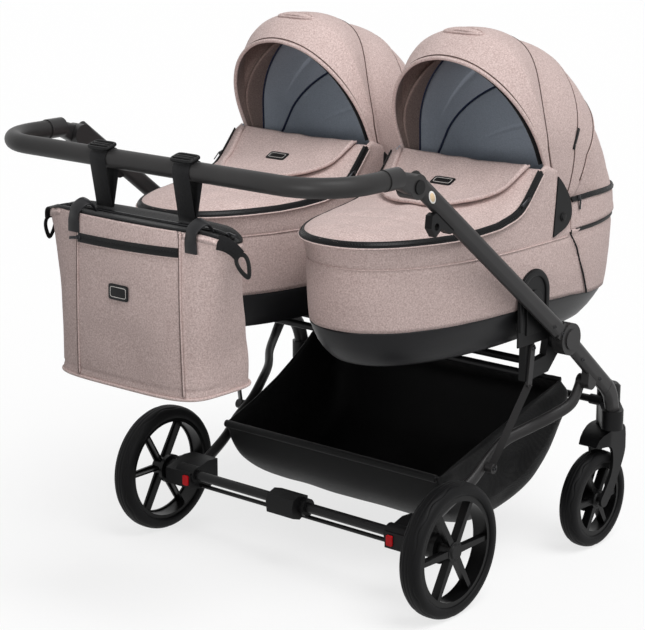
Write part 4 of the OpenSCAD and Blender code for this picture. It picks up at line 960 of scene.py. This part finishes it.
def hood_section(half, crown, full, count=49):
    """Section of a hood panel as (radius, sideways) in mm, from one wing over the arch to the other."""
    x = half * np.sin(np.linspace(-1, 1, count) * math.pi / 2)
    wing = np.linspace(wing_low, wing_top, wing_steps + 1)[:-1]
    left = np.column_stack([wing, np.full(wing_steps, -half)])
    arch = np.column_stack([arch_reach(x, half, crown, full), x])
    return np.vstack([left, arch, (left * (1, -1))[::-1]])


def drawn_turn(name, turn, section):
    """Turns along a panel's section: the front's wings narrow, and the middle's slant to the pivot."""
    half = hood_panels[name][1]
    wing = (np.abs(section[:, 1]) / half) ** 3
    low = np.maximum(0, wing_top - section[:, 0])
    if name == "hood_front":
        return turn + 20 * wing * np.clip((108 - turn) / 22.5, 0, 1)
    if name == "hood_mid":
        forward = flare * wing * np.clip((turn - flare_from) / flare_over, 0, 1)
        return turn + forward - 0.2 * low * np.clip((60 - turn) / 13.5, 0, 1)
    return turn


def about_pivot(x, reach, turn, tag):
    """Places across, out from and round the hood's pivot, as points in the part's frame."""
    turn = np.radians(turn)
    places = np.broadcast_arrays(x, pivot[0] + reach * np.cos(turn), pivot[1] + reach * np.sin(turn))
    return in_cot(np.stack(places, -1), tag)


# Side fins: moulded nylon plates with a bowed back edge, and a round cap on the pin.
fin_edge = smooth_route([(-19.5, 84.5), (-5.8, 72.4), (6.9, 58.6), (21.1, 39.4), (28.6, 21.2), (31, 3.4),
                         (26, -10), (11.2, -22.7), (-12.4, -31), (-31.5, -37)], 6)
fin_x, fin_thick = 186.4, 0.003
# How far out each ring of the cap stands, and its radius, in mm.
cap_rings = [(188, 9.5), (190.6, 9.5), (191.2, 8.9), (191.2, 7.6), (190.4, 7.2), (192.6, 6.6), (193, 6.0),
             (193.2, 0.2)]
for tag in sides:
    shapes = []
    for out in (1, -1):
        corners = [in_cot((out * fin_x, pivot[0] + y, pivot[1] + z), tag) for y, z in fin_edge]
        cap = [about_pivot(out * x, r, np.degrees(full_turn(32)), tag) for x, r in cap_rings]
        shapes += [flat_plate("fin", corners, (out * fin_thick, 0, 0)),
                   skin("fin_cap", cap, around=True, caps=True)]
    piece = fit("hood_fins_" + tag, joined("hood_fins", *shapes), "cot_" + tag, black_nylon, "black_plastic",
                "hood_brackets_" + tag)
    soften(piece, 0.0007)

# Sewn-in piping: a cord in a navy cotton sleeve. Folded net: a fine black knit, nearly opaque in layers.
navy_piping = woven("navy_cotton_piping", "#1c2233", "#28304a", 1.0, 0.7, 0.1)
folded_net = woven("folded_black_net", "#070708", "#121214", 1.0, 0.7, 0.05)
# Facing: the visor's inside, the same canvas darkened as painted shade. Thread: brown, twisted, also
# darkened.
shaded_facing_canvas = woven("dark_melange_facing", "#75635e", "#93817b", 1.2, 0.85, 0.1)
shade_darkened_thread = moulded("brown_sewing_thread", "#4c3d39", "#5c4b46", 1.0, 0.05, 0.7)
facing_turn, visor_turn, seam_turn = 91.5, 115, 67.2
over_arch = slice(wing_steps, -wing_steps)
for name, (body, half, table, seams) in hood_panels.items():
    steps = np.arange(table[0][0], table[-1][0] - 0.01, -0.75)
    for tag in sides:
        cloth_on = (body + tag, melange, "melange_cloth")
        shade_thread_on = (body + tag, shade_darkened_thread, "webbing")
        rows = []
        for turn in steps:
            half, crown, full = panel_shape(name, turn)
            for seam in seams:
                crown -= 2.5 * math.exp(-((turn - seam) / 0.8) ** 2)
            section = hood_section(half, crown, full)
            for k in range(wing_steps, len(section) - wing_steps):
                slack = noise.noise(Vector((section[k, 1] / 60, turn / 9, half)))
                section[k, 0] += 1.8 * slack * (section[k, 0] - wing_top) / 220
            rows.append(about_pivot(section[:, 1], section[:, 0], drawn_turn(name, turn, section), tag))
        mesh = skin(name, rows, outwards=False)
        piece = fit(f"{name}_panel_{tag}", mesh, *cloth_on, f"{name}_{tag}")
        # The front panel's inside, and the middle's near the wings, take the facing darkened as painted
        # shade.
        mesh.materials.append(shaded_facing_canvas if name == "hood_front" else painted_light_lining)
        if name == "hood_mid":
            mesh.materials.append(melange)
            mesh.materials.append(shaded_facing_canvas)
            for face in mesh.polygons:
                ahead, up = (np.array(face.center) - hood_pin[tag])[1:]
                face.material_index = 2 if math.degrees(math.atan2(up, ahead)) > facing_turn else 0
        wall = thicken(piece, 0.003)
        wall.material_offset = 1
        wall.material_offset_rim = 0 if name == "hood_front" else 1
        if name != "hood_back":
            hem = rows[-1][3:-3]
            outs = unit(hem - hood_pin[tag])
            trim(f"{name}_hem_{tag}", hem, outs, oval(0.0042, 0.0042, 8), *cloth_on)
            # Just ahead of the hem, a line of the darkened thread: stitching that also paints the shadow of
            # the step.
            before = hem - unit(hem - rows[-2][3:-3]) * 0.0042 + outs * 0.0003
            trim(f"{name}_stitching_{tag}", before, outs, oval(0.0030, 0.0026, 8), *shade_thread_on)
        if name == "hood_front":
            edge = rows[0][2:-2]
            outs = edge - hood_pin[tag]
            trim("visor_piping_" + tag, edge, outs, oval(0.008, 0.008, 12), *cloth_on)
            section = hood_section(*panel_shape(name, visor_turn))
            # Stitching behind the visor's piping, in the thread darkened as painted shade.
            line = about_pivot(section[2:-2, 1], section[2:-2, 0] + 0.4, visor_turn, tag)
            trim("visor_stitching_" + tag, line, outs, oval(0.0026, 0.0022, 8), *shade_thread_on)
            reach, x = section[28:-5].T
            fade = np.clip(np.linspace(0, 8, len(x)), 0, 1)
            strip = [about_pivot(x - fade * inset * x / half, reach - 5 - fade * inset * 0.4, turn, tag)
                     for inset, turn in ((0, 114), (6, 114.5), (12, 114.8), (17, 115))]
            net = fit("folded_net_" + tag, skin("folded_net", strip, outwards=False), body + tag,
                      folded_net, "webbing")
            thicken(net, 0.0015)
        else:
            turn = steps[0] - 0.4
            half, crown, full = panel_shape(name, turn)
            section = hood_section(half - 2.5, crown - 5, full)
            turns = np.full(len(section), turn)
            if name == "hood_mid":
                # The cord follows the facing's edge, which the flare bends back towards the wings.
                bend = flare / flare_over * (np.abs(section[:, 1]) / half) ** 3
                turns = np.minimum(turn, (facing_turn + flare_from * bend) / (1 + bend))
                crowns, fulls = panel_shape(name, turns)[1:]
                section[over_arch, 0] = arch_reach(section[over_arch, 1], half - 2.5,
                                                   crowns[over_arch] - 5, fulls[over_arch])
                turns = drawn_turn(name, turns, section)
            cord = about_pivot(section[:, 1], section[:, 0], turns, tag)
            trim(f"{name}_piping_{tag}", cord, cord - hood_pin[tag], oval(0.006, 0.004, 8), body + tag,
                 navy_piping, "webbing")
        if name == "hood_mid":
            half, crown, full = panel_shape(name, seam_turn)
            section = hood_section(half + 0.4, crown + 0.6, full)
            slant = 0.17 * np.minimum(0, section[:, 0] - wing_top)
            cord = about_pivot(section[:, 1], section[:, 0], seam_turn + slant, tag)
            outs = unit(cord - hood_pin[tag])
            trim("seam_cord_" + tag, cord, outs, oval(0.003, 0.003, 8), *cloth_on)
            # Beside the cord, a line of the darkened thread: stitching that also paints the seam's shadow.
            before = about_pivot(section[:, 1], section[:, 0] - 0.3, seam_turn + 0.7 + slant, tag)
            trim("seam_stitching_" + tag, before, outs, oval(0.0030, 0.0026, 8), *shade_thread_on)

# Carrying loop: a padded strap in a piped slot in the front panel's crown, and a tab in the side seam.
loop_turn, slot_half, slot_wide, loop_half, tab_turn = 103.5, 47, 2.0, 40, 68
around = full_turn(48)
slot_x = slot_half * squared(np.cos(around), 0.8)
front_shape = panel_shape("hood_front", loop_turn)
for tag in sides:
    cloth_on = ("hood_front_" + tag, melange, "melange_cloth")
    ring = about_pivot(slot_x, arch_reach(slot_x, *front_shape) + 0.8,
                       loop_turn + slot_wide * np.sin(around), tag)
    trim("loop_slot_piping_" + tag, ring, ring - hood_pin[tag], oval(0.005, 0.005, 8), *cloth_on, looped=True)
    # The slot's floor: a sheet of the black net just over the cloth, painted shade in the slot's opening.
    rows = [about_pivot(slot_x * s, arch_reach(slot_x * s, *front_shape) + 0.3,
                        loop_turn + slot_wide * s * np.sin(around), tag) for s in (0.06, 0.5, 1.0)]
    slot_shade_floor = fit("loop_slot_" + tag, skin("loop_slot", rows, around=True, outwards=False),
                     "hood_front_" + tag, folded_net, "webbing")
    thicken(slot_shade_floor, 0.001)
    x = np.linspace(-loop_half, loop_half, 21)
    rise = 3.5 * (1 - (x / loop_half) ** 4)
    strap = about_pivot(x, arch_reach(x, *front_shape) - 1 + rise, loop_turn + 0.2, tag)
    trim("carry_loop_" + tag, strap, strap - hood_pin[tag], oval(0.014, 0.007, 14), *cloth_on)
    tab = about_pivot(hood_panels["hood_mid"][1] + 0.9, np.linspace(138, 182, 6), tab_turn, tag)
    trim("seam_tab_" + tag, tab, (1, 0, 0), band(0.009, 0.0016), "hood_mid_" + tag, zip_tape, "webbing")


# Bag: a soft tote of the same melange on two webbing loops over the bar, sagging to a flat base.
# Two piped seams and a zipped pocket divide its front, and a black zip closes the top.

bag_x, bag_lean, bag_front, bag_base, bag_tall = -14.0, 26.0, -492.0, 500, 318.0


def corner_drop(across, t):
    """How far the bag's top corners sag at a share of the half width, in mm."""
    return 15 * t ** 5 * np.clip((np.abs(across) - 0.72) / 0.28, 0, 1) ** 2


def bag_ring(t, count=260):
    """Outline of the bag at a share of its height, in mm from the rear axle."""
    swell = 6 * math.sin(math.pi * min(1, max(0, t)))
    half = 184 + 56 * t ** 2.2 + swell / 2
    deep = 200 - 100 * t ** 1.3 + swell
    bend = 2 / (4.5 - 2 * t)
    turn = (np.arange(count) + 0.5) * 2 * math.pi / count
    c, s = np.cos(turn), np.sin(turn)
    across = squared(c, bend)
    return np.column_stack([bag_x + bag_lean * t + half * across,
                            bag_front - swell / 2 + deep / 2 + deep / 2 * squared(s, bend),
                            bag_base + bag_tall * t - corner_drop(across, t)])


def bag_face(x, t):
    """Point of the bag's front at a place across it and a share of its height, in mm."""
    ring = bag_ring(t)
    front = ring[ring[:, 1] < ring[:, 1].mean()]
    order = np.argsort(front[:, 0])
    return np.array((x, np.interp(x, front[order, 0], front[order, 1]), bag_base + bag_tall * t))


bag_seams = (-118, 144)
rows = []
base = bag_ring(0)
base_middle = np.array((bag_x, bag_front + 100, bag_base))
for share in (0.3, 0.6, 0.85, 0.95):
    rows.append(from_axle(base_middle + (base - base_middle) * share))
for t in np.concatenate([[0.008, 0.02, 0.04], np.linspace(0.055, 1, 90)]):
    ring = bag_ring(t)
    middle = ring.mean(0)
    for k, point in enumerate(ring):
        outward = unit((point - middle) * (1, 1, 0))
        dent = 2.4 * noise.noise(Vector((point[0] / 75, point[1] / 75, point[2] / 60)))
        corner = abs(point[0] - middle[0]) / 240
        dent += 3.0 * corner ** 4 * t ** 3 * noise.noise(Vector((point[0] / 16, 0, point[2] / 30)))
        if point[1] < middle[1] - 20:
            for seam in bag_seams:
                gap = point[0] - seam - 6 * t
                dent += 1.6 * math.exp(-((gap - 4) / 3) ** 2) - 2.6 * math.exp(-(gap / 2.4) ** 2)
            if 0.045 < t < 0.07:
                dent -= 1.5
        ring[k] = point + outward * dent
    rows.append(from_axle(ring))
rows.append(rows[-1] - (0, 0, 0.014))
bag_mesh = skin("bag", rows, around=True, caps=True)
bag = fit("bag_body", bag_mesh, "bag", melange, "melange_cloth", "bag")

# Zipped top: a black tape gusset drawn down a little between the front and back edges.
top_ring = bag_ring(1.0)
top_middle = top_ring.mean(0)
rows = []
for share, rise in ((1.0, 1.0), (0.9, 4.0), (0.62, 3.0), (0.3, -1.0), (0.04, -2.0)):
    ring = top_ring.copy()
    ring[:, 1] = top_middle[1] + (ring[:, 1] - top_middle[1]) * share
    ring[:, 0] = top_middle[0] + (ring[:, 0] - top_middle[0]) * (0.96 + 0.04 * share)
    ring[:, 2] += rise
    rows.append(from_axle(ring))
fit("bag_top", skin("bag_top", rows, around=True, caps=True), "bag", zip_tape, "webbing")
x = np.linspace(-212, 238, 80)
top_high = bag_base + 0.5 + bag_tall - 1.5 * np.cos(x / 110) - corner_drop((x - bag_x - bag_lean) / 240, 1)
top_zip = from_axle(np.column_stack([x, np.full(80, top_middle[1]), top_high]))
pocket_x = np.linspace(-108, 148, 60)
pocket_high = 0.866 + 0.00008 * pocket_x - 0.004 * np.cos((pocket_x - 20) / 85)
pocket_zip = from_axle([bag_face(x, t) + (0, -2.2, 0) for x, t in zip(pocket_x, pocket_high)])
trim("bag_pocket_zip", pocket_zip, (0, -1, 0.1), band(0.017, 0.003), "bag", zip_tape, "webbing")
trim("bag_top_zip", top_zip, (0, 0, 1), oval(0.008, 0.005, 10), "bag", zip_nylon, "webbing")
mesh = run_tree("zip_teeth", row_tree, [(pocket_zip + (0, -0.0018, 0), (0, -1, 0.1)),
                                        (top_zip + (0, 0, 0.0025), (0, 0, 1))],
                spacing=0.0028, size=(0.0017, 0.0046, 0.0014), finish=zip_nylon)
fit("bag_zip_teeth", mesh, "bag", None, "black_plastic")
lip_route = from_axle([bag_face(x, t - 0.032) + (0, -1.5, 0) for x, t in zip(pocket_x, pocket_high)])
hem_turn = bag_ring(0.012)
hem_route = from_axle(hem_turn + unit((hem_turn - hem_turn.mean(0)) * (1, 1, 0)) * 1.2)
piping = joined("bag_piping", swept("pocket_lip", lip_route, (0, -1, 0), oval(0.004, 0.004, 8)),
                swept("base_piping", hem_route, (0, 0, 1), oval(0.006, 0.006, 10), looped=True))
fit("bag_piping", piping, "bag", melange, "melange_cloth")
# Each front seam: a melange cord, with a line of dark thread beside it as painted shadow of the seam's fold.
cords, lines = [], []
for seam in bag_seams:
    spots = np.array([bag_face(seam + 6 * t, t) for t in np.linspace(0.03, 0.985, 60)])
    cords.append(swept("seam_cord", from_axle(spots + (2.6, -1.6, 0)), (0, -1, 0), oval(0.0036, 0.0036, 8)))
    lines.append(swept("seam_line", from_axle(spots + (-0.4, -1.4, 0)), (0, -1, 0), oval(0.0022, 0.0018, 8)))
fit("bag_seam_cords", joined("bag_seam_cords", *cords), "bag", melange, "melange_cloth")
fit("bag_seam_lines", joined("bag_seam_lines", *lines), "bag", shade_darkened_thread, "webbing")

pulls = joined("bag_pulls", zip_pull(pocket_zip[1], (-1, 0, -0.15), (0, -1, 0.2)),
               zip_pull(top_zip[-3], (1, -0.2, 0), (0, 0, 1)))
fit("bag_pulls", pulls, "bag", black_zinc, "black_plastic")

# Leatherette tabs folded over the front's top edge, and a bare black patch with a thin light frame.
tab_leatherette = moulded("black_leatherette", "#19191a", "#252527", 1.8, 0.3, 0.42)
tab_fold = [(4, -3, 4), (9, 4, 15), (13, 16, 20), (14, 28, 14), (14, 36, 3)]
tabs = []
for x in (-120, 176):
    face = [bag_face(x, t) + (0, -3.0, 0) for t in (0.885, 0.92, 0.96)]
    over = [bag_face(x, 1.0) + shift for shift in tab_fold]
    route = from_axle(smooth_route(face + over, 5))
    centre = from_axle(bag_face(x, 0.9) + (0, 30, 0))
    tabs.append(swept("tab", route, route - centre, band(0.029, 0.004)))
fit("bag_tabs", joined("bag_tabs", *tabs), "bag", tab_leatherette, "black_plastic")
patch_place = from_axle(bag_face(2, 0.583) + (0, -3.4, 0))
plate, line = patch("bag_patch", patch_place, (1, 0, 0), (0, 0.02, 1), 0.051, 0.030)
fit("bag_patch", plate, "bag", patch_rubber, "black_plastic")
fit("bag_patch_line", line, "bag", line_rubber, "grey_plastic")

# Webbing: ribbed polyester strap, 42 mm wide, sewn into the bag's top and looped over the bar.
webbing = woven("black_webbing", "#0a0a0b", "#161618", 1.6, 0.6, 0.1)
drop = bar_z - bag_base - bag_tall - 2
front_tilt, back_tilt, loop_reach = math.radians(12.5), math.radians(10), 19.9
lock_turn, lock_reach = math.radians(106), 24.2
ahead = np.array((0, -math.sin(lock_turn), math.cos(lock_turn)))
off = np.array((0, math.cos(lock_turn), math.sin(lock_turn)))
corner = full_turn(40)
for number, x in enumerate((-112, 103)):
    turn = np.linspace(-front_tilt, math.pi + back_tilt, 40)
    loop = np.column_stack([np.full(40, x), bar_y + loop_reach * np.cos(turn),
                            bar_z + loop_reach * np.sin(turn)])
    falls = [loop[0] + np.outer(np.linspace(drop, 8, 8), (0, -math.sin(front_tilt), -math.cos(front_tilt))),
             loop[-1] + np.outer(np.linspace(8, drop, 8), (0, math.sin(back_tilt), -math.cos(back_tilt)))]
    route = from_axle(np.vstack([falls[0], loop, falls[1]]))
    outs = route - from_axle((x, bar_y, bar_z - 32))
    outs[:8] = (0, 1, 0)
    outs[-8:] = (0, -1, 0)
    mesh = swept("bag_strap", route, outs, band(0.042, 0.002))
    nodes = ("bag_straps",) if number == 0 else ()
    fit(f"bag_strap_{number}", mesh, "bag", webbing, "webbing", *nodes)
    # The lock is an oblong ring with two bars that the strap threads through.
    middle = np.array((x, bar_y, bar_z)) + off * lock_reach
    loop = (middle + np.outer(26 * squared(np.cos(corner), 0.35), (1, 0, 0))
            + np.outer(13 * squared(np.sin(corner), 0.35), ahead))
    rods = [swept("lock_frame", from_axle(loop), off, oval(0.006, 0.007, 10), looped=True)]
    for step in (-3, 4):
        ends = [middle + ahead * step + off * 1.5 + (end, 0, 0) for end in (-25, 25)]
        rods.append(swept("lock_bar", from_axle(np.linspace(*ends, 6)), off, oval(0.006, 0.005, 10)))
    fit(f"strap_lock_{number}", joined("strap_lock", *rods), "bag", black_nylon, "black_plastic")

# Side clips: a webbing tongue at each top corner with a moulded hook, the right one swung out to the back.
right_tongue = [(226, -470, 806), (243, -469, 805), (257, -464, 798), (268, -458, 786)]
left_tongue = [(-224, -438, 805), (-238, -436, 806), (-246, -434, 798), (-248, -433, 784)]
# Each clip: route of its tongue, the way it faces, and the way its hook hangs.
clips = {"r": (right_tongue, (0, -1, 0.25), (0.5, 0, -0.87)),
         "l": (left_tongue, (-1, 0, 0.2), (-0.1, 0, -1))}
turn = full_turn(40)
long_way = 0.021 * np.cos(turn)
wide_way = 0.0115 * np.sin(turn) * (1 - 0.42 * np.cos(turn))
for tag, (tongue, facing_out, down) in clips.items():
    route = from_axle(smooth_route(tongue, 6))
    outs = facing_out if tag == "r" else route - from_axle((-222, -436, 780))
    trim("clip_tongue_" + tag, route, outs, band(0.026, 0.002), "bag", webbing, "webbing")
    down = unit(down)
    aside = unit(np.cross(down, facing_out))
    loop = route[-1] + down * 0.019 + np.outer(long_way, down) + np.outer(wide_way, aside)
    trim("clip_hook_" + tag, loop, np.cross(aside, down), oval(0.009, 0.004, 10), "bag", black_nylon,
         "black_plastic", looped=True)
